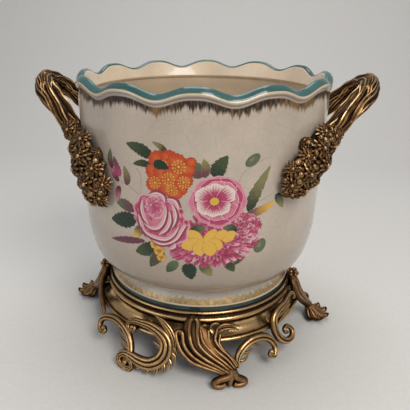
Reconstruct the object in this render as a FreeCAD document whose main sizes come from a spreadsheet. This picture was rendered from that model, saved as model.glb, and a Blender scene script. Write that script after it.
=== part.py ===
import FreeCAD, Part
import Sketcher
import math
import os
import re

Vector = FreeCAD.Vector

# Driving dimensions in millimetres; a name that ends in angle is in degrees, one in count is a number
SIZES = {
    "pot_height": 211.0,
    "rim_radius": 120.0,
    "wall": 7.0,
    "lip_width": 9.0,
    "lip_drop": 5.0,
    "lip_overhang": 2.0,
    "mouth_inset": 12.0,
    "mouth_depth": 16.0,
    "mouth_undercut": 3.0,
    "lobe_count": 12,
    "lobe_dip": 6.7,
    "lobe_flute": 1.8,
    "lobe_phase_angle": 0.5,
    "foot_radius": 95.5,
    "foot_wall": 12.0,
    "foot_recess": 20.0,
    "floor_height": 33.0,
    "floor_radius": 84.0,
    "drain_radius": 5.5,
    "base_height": 53.0,
    "gasket_thickness": 1.5,
    "fit_clearance": 0.2,
    "collar_height": 10.0,
    "collar_seat": 12.0,
    "collar_rise": 2.6,
    "collar_bead": 2.8,
    "apron_height": 13.0,
    "apron_flare": 10.0,
    "apron_wall": 5.0,
    "leg_overhang": 40.0,
    "leg_width": 36.0,
    "leg_thickness": 13.0,
    "leg_root_angle": 2.0,
    "leg_sweep_angle": 13.5,
    "toe_overhang": 45.0,
    "toe_width": 26.0,
    "toe_thickness": 12.0,
    "toe_root_angle": 78.0,
    "toe_sweep_angle": 12.0,
    "left_toe_sweep_angle": 21.5,
    "finial_radius": 6.5,
    "finial_berry": 2.6,
    "scroll_radius": 5.0,
    "scroll_overhang": 31.0,
    "volute_radius": 7.5,
    "volute_depth": 9.0,
    "arch_radius": 3.7,
    "handle_radius": 9.5,
    "twig_count": 7,
    "twig_groove": 2.6,
    "handle_overhang": 37.0,
    "handle_drop": 56.0,
    "handle_apex_drop": 10.0,
    "handle_bend": 31.0,
    "handle_half_span": 48.7,
    "cluster_length": 72.0,
    "cluster_width": 38.0,
    "cluster_thickness": 30.0,
    "cluster_shift": 30.0,
    "cluster_drop": 64.0,
    "cluster_tilt_angle": 52.0,
    "left_cluster_drop": 74.0,
    "left_cluster_tilt_angle": 34.0,
    "stud_radius": 2.5,
    "stud_embed": 8.0,
    "stud_spare": 1.5,
    "nut_radius": 5.0,
    "nut_height": 4.0,
    "washer_radius": 8.0,
    "washer_thickness": 1.5,
    "bolt_radius": 5.0,
    "bolt_head_radius": 9.5,
    "bolt_head_height": 6.5,
    "bolt_spare": 5.0,
    "tie_washer_radius": 18.0,
    "tie_washer_thickness": 2.0,
    "tie_seal_thickness": 3.0,
    "strap_width": 24.0,
    "strap_thickness": 4.0,
    "screw_radius": 2.0,
    "leg_screw_embed": 9.0,
    "scroll_screw_embed": 6.0,
    "screw_head_radius": 3.6,
    "screw_head_height": 2.4,
    "cut_overrun": 5.0,
}

doc = FreeCAD.newDocument("planter")
sheet = doc.addObject("Spreadsheet::Sheet", "sizes")
for row, (alias, value) in enumerate(SIZES.items(), start=1):
    sheet.set(f"A{row}", alias)
    sheet.set(f"B{row}", str(value))
    sheet.setAlias(f"B{row}", alias)
doc.recompute()

nodes = []


def size(alias):
    """Value of one cell of the sheet."""
    return float(sheet.get(alias))


def worth(expression):
    """Value of an expression on the sheet's names."""
    return float(sheet.evalExpression(expression))


def in_sheet(expression):
    """The same expression as another object reads it."""
    return re.sub(r"[a-z][a-z_]+", lambda match: "sizes." + match.group(), expression)


def node(obj, label):
    """Give a sub-part its label and list it for writing."""
    obj.Label = label
    nodes.append(obj)
    return obj


def shaped(label, shape):
    """Sub-part whose form comes from Part's own functions."""
    obj = doc.addObject("Part::Feature", label)
    obj.Shape = shape
    return node(obj, label)


def polar(azimuth, radius, height):
    """Point at an azimuth in degrees from the front, positive to the right."""
    turn = math.radians(azimuth)
    return Vector(radius * math.sin(turn), -radius * math.cos(turn), height)


def turned(points):
    """Solid of revolution about Z of a closed outline of radius and height pairs."""
    corners = [Vector(radius, 0, height) for radius, height in points]
    face = Part.Face(Part.makePolygon(corners + corners[:1]))
    return face.revolve(Vector(0, 0, 0), Vector(0, 0, 1), 360)


def half_turned(shape):
    """Copy of a shape on the opposite side of the axis."""
    copy = shape.copy()
    copy.rotate(Vector(0, 0, 0), Vector(0, 0, 1), 180)
    return copy


def on_left(shape):
    """Mirror copy of a right-hand shape."""
    return shape.mirror(Vector(0, 0, 0), Vector(1, 0, 0))


def at_back(shape):
    """Mirror copy of a front shape."""
    return shape.mirror(Vector(0, 0, 0), Vector(0, 1, 0))


def radial_cylinder(azimuth, height, radius, start, end):
    """Cylinder that lies along a radius of the pot."""
    return Part.makeCylinder(radius, end - start, polar(azimuth, start, height), polar(azimuth, 1, 0))


def cylinder(name, radius, height, placement):
    """Cylinder whose radius and height are expressions on the sheet."""
    obj = doc.addObject("Part::Cylinder", name)
    obj.setExpression("Radius", in_sheet(radius))
    obj.setExpression("Height", in_sheet(height))
    obj.Placement = placement
    return obj


def hexagon(name, radius, height, placement):
    """Hexagonal prism whose corner radius and height are expressions on the sheet."""
    obj = doc.addObject("Part::Prism", name)
    obj.Polygon = 6
    obj.setExpression("Circumradius", in_sheet(radius))
    obj.setExpression("Height", in_sheet(height))
    obj.Placement = placement
    return obj


def combined(kind, name, base, tool):
    """Boolean of two objects: a Part::Cut or a Part::Fuse."""
    obj = doc.addObject(kind, name)
    obj.Base = base
    obj.Tool = tool
    return obj


def group(label, members):
    """Like fasteners as one node of separate solids."""
    obj = doc.addObject("Part::Compound", label)
    obj.Links = members
    return node(obj, label)


def upright(height):
    """Placement on the axis of the pot at a height."""
    return FreeCAD.Placement(Vector(0, 0, height), FreeCAD.Rotation())


def outward(azimuth, radius, height):
    """Placement whose Z points out along a radius of the pot."""
    turn = FreeCAD.Rotation(Vector(0, 0, 1), polar(azimuth, 1, 0))
    return FreeCAD.Placement(polar(azimuth, radius, height), turn)


# Porcelain pot

pot_bottom = size("base_height")
rim_top = pot_bottom + size("pot_height")
floor_top = pot_bottom + size("floor_height")

# Outline of the foot ring: share of the foot's radius and share of the pot's height
FOOT_SHARES = (
    (1.0, 0.0), (1.0, 0.012), (1.0, 0.024), (0.998, 0.038), (0.972, 0.060), (0.940, 0.090), (0.930, 0.110),
)
# Outside of the bowl: share of the rim's radius, share of the pot's height, and how much of the rim's
# fluting and of its waving is left there
BOWL_SHARES = (
    (0.800, 0.118, 0.0, 0.0),
    (0.870, 0.133, 0.0, 0.0),
    (0.918, 0.180, 0.0, 0.0),
    (0.948, 0.235, 0.0, 0.0),
    (0.973, 0.320, 0.0, 0.0),
    (0.982, 0.450, 0.1, 0.0),
    (0.990, 0.600, 0.5, 0.0),
    (1.000, 0.780, 0.9, 0.1),
    (1.005, 0.900, 1.0, 0.6),
)
# Rows of the bowl's outline that its inside follows at the thickness of the wall
INSIDE_ROWS = slice(3, 7)
# How narrow the dips between the lobes are, and points along one lobe of a line round the pot
DIP_POWER = 1.4
POINTS_PER_LOBE = 6


def outer_radius(height):
    """Radius of the bowl's outside on the crest of a lobe."""
    share = (height - pot_bottom) / size("pot_height")
    table = [(high, radius) for radius, high, _, _ in BOWL_SHARES]
    for (low, low_radius), (high, high_radius) in zip(table, table[1:]):
        if share <= high:
            part = (share - low) / (high - low)
            return size("rim_radius") * (low_radius + part * (high_radius - low_radius))
    return size("rim_radius") * table[-1][1]


def lobe_fall(angle):
    """0 on the crest of a lobe and 1 in the dip between two lobes."""
    phase = math.radians(size("lobe_phase_angle"))
    wave = (1 - math.cos(size("lobe_count") * (angle - phase))) / 2
    return wave ** DIP_POWER


def pot_line(radius, height, flute, dip):
    """Closed line round the pot that follows its lobes by the given amounts."""
    count = int(size("lobe_count")) * POINTS_PER_LOBE
    points = []
    for index in range(count):
        angle = 2 * math.pi * index / count
        fall = lobe_fall(angle)
        inset = radius - flute * size("lobe_flute") * fall
        points.append(polar(math.degrees(angle), inset, height - dip * size("lobe_dip") * fall))
    curve = Part.BSplineCurve()
    curve.interpolate(Points=points, PeriodicFlag=True)
    return Part.Wire(curve.toShape())


def pot_rows():
    """Radius, height, fluting and waving up the outside, over the lip and down to the floor."""
    rim = size("rim_radius")
    tall = size("pot_height")
    lip_edge = rim + size("lip_overhang")
    lip_low = rim_top - size("lip_drop")
    mouth_low = rim_top - size("mouth_depth")
    mouth = rim - size("mouth_inset")
    rows = [(size("foot_radius") * r, pot_bottom + tall * z, 0, 0) for r, z in FOOT_SHARES]
    rows += [(rim * r, pot_bottom + tall * z, flute, dip) for r, z, flute, dip in BOWL_SHARES]
    rows.append((rim, lip_low - size("lip_overhang"), 1, 1))
    rows.append((lip_edge, lip_low, 1, 1))
    rows.append((lip_edge - size("lip_width") / 2, rim_top, 1, 1))
    rows.append((lip_edge - size("lip_width"), rim_top - size("lip_overhang"), 1, 1))
    rows.append((mouth, mouth_low, 0, 0))
    rows.append((mouth + size("mouth_undercut"), mouth_low - 2 * size("mouth_undercut"), 0, 0))
    for radius, height, _, _ in reversed(BOWL_SHARES[INSIDE_ROWS]):
        rows.append((rim * radius - size("wall"), pot_bottom + tall * height, 0, 0))
    rows.append((size("floor_radius") + size("wall"), floor_top + size("wall") / 2, 0, 0))
    rows.append((size("floor_radius"), floor_top, 0, 0))
    return rows


stud_height = rim_top - size("handle_drop")
wall_at_stud = outer_radius(stud_height)
handle_half_angle = math.degrees(math.asin(size("handle_half_span") / wall_at_stud))
stud_azimuths = [side * 90 + end * handle_half_angle for side in (1, -1) for end in (1, -1)]
pot_blank = Part.makeLoft([pot_line(*row) for row in pot_rows()], True, True)


def inside_radius(azimuth, height):
    """Radius of the pot's inside at one place."""
    line = Part.makeLine(Vector(0, 0, height), polar(azimuth, 2 * size("rim_radius"), height))
    return min(math.hypot(vertex.X, vertex.Y) for vertex in pot_blank.common(line).Vertexes)


def make_pot():
    """Pot with its foot recess, drain hole and handle holes."""
    below = Vector(0, 0, pot_bottom - size("cut_overrun"))
    recess_radius = size("foot_radius") - size("foot_wall")
    drain_length = size("floor_height") + 2 * size("cut_overrun")
    cutters = [
        Part.makeCylinder(recess_radius, size("foot_recess") + size("cut_overrun"), below),
        Part.makeCylinder(size("drain_radius"), drain_length, below),
    ]
    hole = size("stud_radius") + size("fit_clearance")
    for azimuth in stud_azimuths:
        start = inside_radius(azimuth, stud_height) - size("cut_overrun")
        cutters.append(radial_cylinder(azimuth, stud_height, hole, start, wall_at_stud + size("cut_overrun")))
    shaped("ceramic_pot", pot_blank.cut(cutters))


def pot_seat():
    """What the mounts on the pot are cut back from: its outside on the lobes' crests, with clearance."""
    play = size("fit_clearance")
    tall = size("pot_height")
    side = [(size("rim_radius") * r + play, pot_bottom + tall * z) for r, z, _, _ in BOWL_SHARES]
    return turned([(0, side[0][1])] + side + [(side[-1][0], rim_top), (0, rim_top)])


# Collar, apron and gasket

SEAT = "(base_height - gasket_thickness)"
COLLAR_BOTTOM = "(base_height - collar_height)"
COLLAR_TOP = "(base_height + collar_rise)"
COLLAR_INSIDE = "(foot_radius - collar_seat)"
LIP_INSIDE = "(foot_radius + fit_clearance)"
LIP_OUTSIDE = "(foot_radius + fit_clearance + collar_bead)"
APRON_BOTTOM = "(base_height - collar_height - apron_height)"
# Outside of the collar from its top bead down: shares of the bead, out from the lip and down from the top
COLLAR_BEAD_SHARES = (
    (0.3, 0.0), (0.7, 0.0), (1.0, 0.3), (1.0, 0.8), (0.5, 1.2),
    (0.5, 2.0), (1.4, 2.3), (1.8, 2.9), (1.4, 3.5),
)
# Outside of the apron from its top down, and its inside from its bottom up: share of flare and of height
APRON_OUT_SHARES = (
    (0.0, 0.0), (0.1, 0.25), (0.35, 0.52), (0.8, 0.74), (1.0, 0.76), (1.12, 0.88), (1.0, 1.0),
)
APRON_IN_SHARES = ((0.8, 1.0), (0.3, 0.6), (0.1, 0.3), (0.0, 0.0))


def plane_of(body, role):
    """One of a body's own origin planes."""
    return next(item for item in body.Origin.OriginFeatures if item.Role == role)


def turned_body(label, corners):
    """Body revolved about Z from corners given as pairs of expressions on the sheet."""
    body = node(doc.addObject("PartDesign::Body", label), label)
    sketch = body.newObject("Sketcher::SketchObject", label + "_outline")
    sketch.AttachmentSupport = [(plane_of(body, "XZ_Plane"), "")]
    sketch.MapMode = "FlatFace"
    places = [Vector(worth(radius), worth(height), 0) for radius, height in corners]
    count = len(places)
    for index in range(count):
        sketch.addGeometry(Part.LineSegment(places[index], places[(index + 1) % count]), False)
    for index in range(count):
        sketch.addConstraint(Sketcher.Constraint("Coincident", index, 2, (index + 1) % count, 1))
    for index, corner in enumerate(corners):
        for kind, expression in zip(("DistanceX", "DistanceY"), corner):
            constraint = Sketcher.Constraint(kind, -1, 1, index, 1, worth(expression))
            number = sketch.addConstraint(constraint)
            sketch.setExpression(f"Constraints[{number}]", in_sheet(expression))
    revolution = body.newObject("PartDesign::Revolution", label + "_revolution")
    revolution.Profile = sketch
    revolution.ReferenceAxis = (sketch, ["V_Axis"])
    revolution.Angle = 360
    body.Tip = revolution
    return body


def collar_outline():
    """Outside corners of the collar, top to bottom, as expressions."""
    corners = [
        (f"{LIP_INSIDE} + collar_bead * {out}", f"{COLLAR_TOP} - collar_bead * {down}")
        for out, down in COLLAR_BEAD_SHARES
    ]
    return corners + [(LIP_OUTSIDE, COLLAR_BOTTOM)]


def apron_outline():
    """Outside corners of the apron, top to bottom, as expressions."""
    return [
        (f"{LIP_OUTSIDE} + apron_flare * {out}", f"{COLLAR_BOTTOM} - apron_height * {down}")
        for out, down in APRON_OUT_SHARES
    ]


def apron_inline():
    """Inside corners of the apron, bottom to top, as expressions."""
    return [
        (f"{LIP_OUTSIDE} - apron_wall + apron_flare * {out}", f"{COLLAR_BOTTOM} - apron_height * {down}")
        for out, down in APRON_IN_SHARES
    ]


def make_collar():
    """Beaded ring that the foot stands in."""
    first_share = COLLAR_BEAD_SHARES[0][0]
    seat = [(COLLAR_INSIDE, COLLAR_BOTTOM), (COLLAR_INSIDE, SEAT), (LIP_INSIDE, SEAT)]
    seat.append((LIP_INSIDE, f"{COLLAR_TOP} - collar_bead * {first_share}"))
    turned_body("base_collar", seat + collar_outline())


def make_gasket():
    """Cork ring between the foot and the collar."""
    turned_body("foot_gasket", [
        (COLLAR_INSIDE, SEAT), ("foot_radius", SEAT),
        ("foot_radius", "base_height"), (COLLAR_INSIDE, "base_height"),
    ])


def make_apron():
    """Concave band under the collar, with a hole for each screw."""
    play = size("fit_clearance")
    band = turned([(worth(r), worth(z)) for r, z in apron_outline() + apron_inline()])
    holes = []
    for azimuth in leg_azimuths + scroll_azimuths:
        holes.append(radial_cylinder(
            azimuth, screw_height, size("screw_radius") + play, worth(COLLAR_INSIDE),
            worth(LIP_OUTSIDE) + size("apron_flare")))
    shaped("apron_band", band.cut(holes))


def base_seat():
    """What the castings are cut back from: the collar, the apron and all inside them, with clearance."""
    play = size("fit_clearance")
    outside = [(worth(r) + play, worth(z)) for r, z in collar_outline() + apron_outline()]
    low = worth(APRON_BOTTOM) - play
    high = worth(COLLAR_TOP) + size("cut_overrun")
    points = [(0, high), (outside[0][0], high)] + outside
    return turned(points + [(outside[-1][0], low), (0, low)])


# Castings of the base

# Legs: shares of the overhang beyond the foot, of the base's height and of the sideways sweep, then of
# the width and thickness on each side of the middle
SHELL_LEG_SHARES = (
    (0.15, 1.02, 0.00, 0.10, 0.20),
    (0.20, 0.90, 0.00, 0.36, 0.36),
    (0.33, 0.74, 0.00, 0.50, 0.66),
    (0.55, 0.55, 0.18, 0.46, 0.56),
    (0.74, 0.40, 0.55, 0.31, 0.52),
    (0.89, 0.27, 0.90, 0.22, 0.50),
    (0.98, 0.13, 1.00, 0.23, 0.50),
    (1.00, -0.04, 1.00, 0.26, 0.55),
)
TOE_LEG_SHARES = (
    (0.13, 1.08, 0.00, 0.13, 0.22),
    (0.18, 0.95, 0.00, 0.34, 0.42),
    (0.28, 0.72, 0.05, 0.40, 0.62),
    (0.42, 0.47, 0.25, 0.36, 0.54),
    (0.56, 0.27, 0.50, 0.36, 0.50),
    (0.74, 0.12, 0.80, 0.46, 0.56),
    (0.90, 0.10, 1.00, 0.52, 0.48),
    (1.00, 0.16, 1.05, 0.36, 0.24),
)
# Scrolls and arches: shares of the half spread, of the overhang beyond the collar and of the base's height
STANDING_SCROLL_SHARES = (
    (-0.85, 0.24, 0.740), (-0.32, 0.16, 0.755), (0.31, 0.18, 0.745), (0.76, 0.38, 0.660),
    (0.98, 0.58, 0.550), (0.91, 0.69, 0.420), (0.59, 0.82, 0.300), (0.16, 0.88, 0.255),
    (-0.32, 0.92, 0.255),
)
HANGING_SCROLL_SHARES = (
    (0.80, 0.20, 0.985), (0.30, 0.20, 0.985), (-0.33, 0.20, 0.920), (-0.72, 0.23, 0.850),
    (-0.97, 0.30, 0.760), (-0.97, 0.42, 0.650), (-0.82, 0.55, 0.520), (-0.52, 0.66, 0.420),
)
LEFT_ARCH_SHARES = (
    (1.00, 0.86, 0.25), (0.78, 0.66, 0.48), (0.39, 0.50, 0.58), (-0.13, 0.45, 0.61),
    (-0.61, 0.48, 0.55), (-0.94, 0.55, 0.42), (-0.98, 0.66, 0.28), (-0.70, 0.70, 0.22),
)
RIGHT_ARCH_SHARES = (
    (-0.97, 1.08, 0.25), (-0.89, 0.92, 0.52), (-0.67, 0.74, 0.63), (-0.24, 0.53, 0.63),
    (0.43, 0.47, 0.58), (0.84, 0.58, 0.43), (0.99, 0.68, 0.27), (0.72, 0.74, 0.20),
)
# Volutes: the same three shares and the share of the volute's radius
STANDING_VOLUTE_SHARES = ((-0.94, 0.36, 0.62, 0.65), (-0.62, 0.92, 0.13, 1.0))
HANGING_VOLUTE_SHARES = ((0.98, 0.25, 0.90, 0.65), (-0.25, 0.70, 0.48, 0.65))
# Middle azimuth and half spread, in degrees, of the scrolls and arches at the front
STANDING_SCROLL_TURN = (-21.0, 10.0)
HANGING_SCROLL_TURN = (53.0, 9.0)
LEFT_ARCH_TURN = (-41.5, 14.0)
RIGHT_ARCH_TURN = (30.5, 11.5)
# Row of the standing scroll where its screw goes in, and how far down the apron the screws are
SCREW_ROW = 1
SCREW_DOWN_SHARE = 0.4
# Berries in each tier of a finial, top to bottom
BERRY_TIER_COUNTS = (3, 6, 6)
# Arcs that each section of a casting is made of, and where the first one starts, in radians
SECTION_ARCS = 3
SECTION_START = 0.3
# How far the faces of the legs lean up
LEG_LEAN = 0.5

screw_height = worth(COLLAR_BOTTOM) - SCREW_DOWN_SHARE * size("apron_height")
leg_azimuths = [
    size("leg_root_angle"), size("leg_root_angle") + 180, size("toe_root_angle"), -size("toe_root_angle"),
]
first_scroll_azimuth = (
    STANDING_SCROLL_TURN[0] + STANDING_SCROLL_TURN[1] * STANDING_SCROLL_SHARES[SCREW_ROW][0])
scroll_azimuths = [first_scroll_azimuth, first_scroll_azimuth + 180]


def casting(stations, lean):
    """Form lofted through flat ellipses: point, half width and half thickness at each station."""
    wires = []
    last = len(stations) - 1
    for index, (point, half_width, half_thickness) in enumerate(stations):
        before = stations[max(index - 1, 0)][0]
        after = stations[min(index + 1, last)][0]
        along = (after - before).normalize()
        face = Vector(point.x, point.y, 0).normalize() + Vector(0, 0, lean)
        thick = (face - along * face.dot(along)).normalize()
        wide = thick.cross(along)
        ellipse = Part.Ellipse(Vector(0, 0, 0), half_width, half_thickness)
        ends = [SECTION_START + turn * 2 * math.pi / SECTION_ARCS for turn in range(SECTION_ARCS + 1)]
        wire = Part.Wire([
            Part.ArcOfEllipse(ellipse, start, end).toShape() for start, end in zip(ends, ends[1:])])
        wire.Placement = FreeCAD.Placement(FreeCAD.Matrix(
            wide.x, thick.x, along.x, point.x,
            wide.y, thick.y, along.y, point.y,
            wide.z, thick.z, along.z, point.z))
        wires.append(wire)
    return Part.makeLoft(wires, True, False)


def leg(shares, overhang, root, sweep, width, thickness):
    """Leg from its table of shares and the names of its sizes."""
    stations = []
    for out, high, turn, wide, thick in shares:
        radius = size("foot_radius") + out * size(overhang)
        point = polar(size(root) + turn * size(sweep), radius, high * size("base_height"))
        stations.append((point, wide * size(width), thick * size(thickness)))
    return casting(stations, LEG_LEAN)


def scroll_point(turn, spread, out, high):
    """Point of a scroll or an arch from its shares."""
    middle, half = turn
    radius = worth(LIP_OUTSIDE) + out * size("scroll_overhang")
    return polar(middle + spread * half, radius, high * size("base_height"))


def arc_middle(start, heading, end):
    """Middle of the arc that leaves one point along a heading and ends at another."""
    chord = end - start
    along = Vector(chord).normalize()
    aside = heading - along * heading.dot(along)
    half_turn = math.atan2(aside.Length, heading.dot(along)) / 2
    return start + chord / 2 + aside.normalize() * (chord.Length / 2 * math.tan(half_turn))


def bar(points, radius):
    """Round bar on pairs of tangent arcs through points."""
    last = len(points) - 1
    headings = []
    for index in range(last + 1):
        headings.append((points[min(index + 1, last)] - points[max(index - 1, 0)]).normalize())
    arcs = []
    for start, end, leaving, arriving in zip(points, points[1:], headings, headings[1:]):
        span = end - start
        both = leaving + arriving
        spread = 2 * (1 - leaving.dot(arriving))
        reach = (math.sqrt(span.dot(both) ** 2 + spread * span.dot(span)) - span.dot(both)) / spread
        meeting = (start + leaving * reach + end - arriving * reach) / 2
        arcs.append(Part.Arc(start, arc_middle(start, leaving, meeting), meeting).toShape())
        arcs.append(Part.Arc(meeting, arc_middle(end, -arriving, meeting), end).toShape())
    ring = Part.Wire(Part.makeCircle(radius, points[0], headings[0]))
    return Part.Wire(arcs).makePipeShell([ring], True, False)


def bracket(turn, shares, radius):
    """Scroll or arch without volutes."""
    return bar([scroll_point(turn, *row) for row in shares], size(radius))


def volute(turn, spread, out, high, share):
    """Round volute at the end of a scroll, facing outward."""
    centre = scroll_point(turn, spread, out, high)
    facing = Vector(centre.x, centre.y, 0).normalize()
    depth = size("volute_depth")
    return Part.makeCylinder(share * size("volute_radius"), depth, centre - facing * (depth / 2), facing)


def scroll(turn, shares, volutes):
    """C-scroll with a volute at each end."""
    band = bracket(turn, shares, "scroll_radius")
    return band.fuse([volute(turn, *row) for row in volutes])


def below_floor():
    """What the feet are cut back from: all below the surface that the planter stands on."""
    reach = 2 * (size("foot_radius") + size("toe_overhang"))
    depth = size("base_height")
    return Part.makeBox(2 * reach, 2 * reach, depth, Vector(-reach, -reach, -depth))


def screw_hole(azimuth, embed):
    """Hole for a screw in a casting."""
    radius = size("screw_radius") + size("fit_clearance")
    end = worth(LIP_OUTSIDE) + size(embed) + size("fit_clearance")
    return radial_cylinder(azimuth, screw_height, radius, worth(COLLAR_INSIDE), end)


def finial(leg_shape):
    """Bunch of berries on top of a leg on the right."""
    berry = size("finial_berry")
    radius = size("finial_radius")
    reach = size("foot_radius") + size("collar_bead") + radius
    height = size("base_height") * TOE_LEG_SHARES[0][1] + radius / 2
    centre = polar(size("toe_root_angle"), reach, height)
    berries = []
    for tier, count in enumerate(BERRY_TIER_COUNTS):
        tilt = math.pi * (tier + 0.5) / len(BERRY_TIER_COUNTS)
        ring = (radius - berry) * math.sin(tilt)
        rise = (radius - berry) * math.cos(tilt)
        for index in range(count):
            angle = 2 * math.pi * (index + tier / 2) / count
            spot = centre + Vector(ring * math.cos(angle), ring * math.sin(angle), rise)
            berries.append(Part.makeSphere(berry, spot))
    return Part.makeSphere(radius - berry / 2, centre).fuse(berries).cut(leg_shape)


def make_base_castings():
    """Legs, finials, scrolls and arches; the back repeats the front, turned half round."""
    cutters = [base_seat(), below_floor()]
    leg_cutters = cutters + [screw_hole(azimuth, "leg_screw_embed") for azimuth in leg_azimuths]
    scroll_cutters = cutters + [screw_hole(scroll_azimuths[0], "scroll_screw_embed")]
    front_leg = leg(
        SHELL_LEG_SHARES, "leg_overhang", "leg_root_angle", "leg_sweep_angle",
        "leg_width", "leg_thickness").cut(leg_cutters)
    side_legs = []
    for sweep in ("toe_sweep_angle", "left_toe_sweep_angle"):
        blank = leg(TOE_LEG_SHARES, "toe_overhang", "toe_root_angle", sweep, "toe_width", "toe_thickness")
        side_legs.append(blank.cut(leg_cutters))
    right_leg, left_leg = side_legs
    standing = scroll(STANDING_SCROLL_TURN, STANDING_SCROLL_SHARES, STANDING_VOLUTE_SHARES)
    standing = standing.cut(scroll_cutters)
    hanging = scroll(HANGING_SCROLL_TURN, HANGING_SCROLL_SHARES, HANGING_VOLUTE_SHARES).cut(cutters)
    left_arch = bracket(LEFT_ARCH_TURN, LEFT_ARCH_SHARES, "arch_radius")
    left_arch = left_arch.cut(cutters + [standing])
    right_arch = bracket(RIGHT_ARCH_TURN, RIGHT_ARCH_SHARES, "arch_radius")
    right_arch = right_arch.cut(cutters + [front_leg])
    shaped("right_leg", right_leg)
    shaped("left_leg", on_left(left_leg))
    shaped("right_finial", finial(right_leg))
    shaped("left_finial", on_left(finial(left_leg)))
    for front_name, back_name, shape in (
            ("front_leg", "back_leg", front_leg),
            ("front_left_scroll", "back_right_scroll", standing),
            ("front_right_scroll", "back_left_scroll", hanging),
            ("front_left_arch", "back_right_arch", left_arch),
            ("front_right_arch", "back_left_arch", right_arch)):
        shaped(front_name, shape)
        shaped(back_name, half_turned(shape))


# Handles and clusters

# Clusters: share of the length from the middle, then of the width and thickness on each side of the middle
CLUSTER_SHARES = (
    (-0.50, 0.32, 0.22), (-0.36, 0.46, 0.42), (-0.10, 0.50, 0.50),
    (0.15, 0.48, 0.50), (0.36, 0.38, 0.40), (0.50, 0.22, 0.16),
)
# How far the middle of a cluster stands out from the wall, as a share of its thickness
CLUSTER_STAND_SHARE = 0.1


def handle_path():
    """Line of the right handle: two straight legs and a bend, in a plane that rises outward."""
    front = polar(90 - handle_half_angle, wall_at_stud, stud_height)
    root = Vector(front.x, 0, stud_height)
    half_span = -front.y
    reach = size("rim_radius") + size("handle_overhang")
    climb = Vector(reach, 0, rim_top - size("handle_apex_drop")) - root
    length = climb.Length
    climb.normalize()
    bend = size("handle_bend")
    middle = length - bend
    turn = math.atan2(half_span, -middle) - math.acos(bend / math.hypot(middle, half_span))
    along = middle + bend * math.cos(turn)
    across = bend * math.sin(turn)

    def place(distance, side):
        return root + climb * distance + Vector(0, side, 0)

    front_bend = place(along, -across)
    back_bend = place(along, across)
    into_wall = (front - front_bend).normalize() * size("wall")
    start = front + into_wall
    end = Vector(start.x, -start.y, start.z)
    return Part.Wire([
        Part.makeLine(start, front_bend),
        Part.Arc(front_bend, place(length, 0), back_bend).toShape(),
        Part.makeLine(back_bend, end),
    ])


def twig_pipe(radius, groove):
    """Bundle of twigs along the right handle: its section is a ring of arcs with grooves between them."""
    path = handle_path()
    start = path.OrderedVertexes[0].Point
    along = (path.OrderedVertexes[1].Point - start).normalize()
    across = (Vector(0, 1, 0) - along * along.y).normalize()
    rise = along.cross(across)
    half_step = math.pi / size("twig_count")

    def spot(turn, reach):
        return start + across * (reach * math.cos(turn)) + rise * (reach * math.sin(turn))

    arcs = []
    for number in range(round(size("twig_count"))):
        turn = 2 * half_step * number
        valley = spot(turn - half_step, radius - groove)
        next_valley = spot(turn + half_step, radius - groove)
        arcs.append(Part.Arc(valley, spot(turn, radius), next_valley).toShape())
    return path.makePipeShell([Part.Wire(arcs)], True, True)


def round_pipe(radius):
    """Round rod along the right handle."""
    path = handle_path()
    start = path.OrderedVertexes[0].Point
    ring = Part.Wire(Part.makeCircle(radius, start, path.OrderedVertexes[1].Point - start))
    return path.makePipeShell([ring], True, True)


def cluster(drop, tilt_angle):
    """Bunch of blossoms over the front end of the right handle, as one swelling form on the wall."""
    stations = []
    tilt = math.radians(size(tilt_angle))
    for share, wide, thick in CLUSTER_SHARES:
        run = share * size("cluster_length")
        height = rim_top - size(drop) - run * math.cos(tilt)
        radius = outer_radius(height) + CLUSTER_STAND_SHARE * size("cluster_thickness")
        arc = size("cluster_shift") + run * math.sin(tilt)
        azimuth = 90 - handle_half_angle - math.degrees(arc / radius)
        stations.append((
            polar(azimuth, radius, height), wide * size("cluster_width"), thick * size("cluster_thickness")))
    return casting(stations, 0)


def make_handles():
    """Two twig loops and the four clusters that cover their ends."""
    seat = pot_seat()
    holes = []
    for azimuth in stud_azimuths:
        radius = size("stud_radius") + size("fit_clearance")
        end = wall_at_stud + size("stud_embed") + size("fit_clearance")
        holes.append(radial_cylinder(azimuth, stud_height, radius, wall_at_stud - size("wall"), end))
    handle = twig_pipe(size("handle_radius"), size("twig_groove")).cut([seat] + holes)
    room = round_pipe(size("handle_radius") + size("fit_clearance"))
    right = cluster("cluster_drop", "cluster_tilt_angle").cut([seat, room])
    left = on_left(cluster("left_cluster_drop", "left_cluster_tilt_angle").cut([seat, room]))
    shaped("right_handle", handle)
    shaped("left_handle", on_left(handle))
    shaped("right_front_cluster", right)
    shaped("right_back_cluster", at_back(right))
    shaped("left_front_cluster", left)
    shaped("left_back_cluster", at_back(left))


# Fasteners

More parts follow.
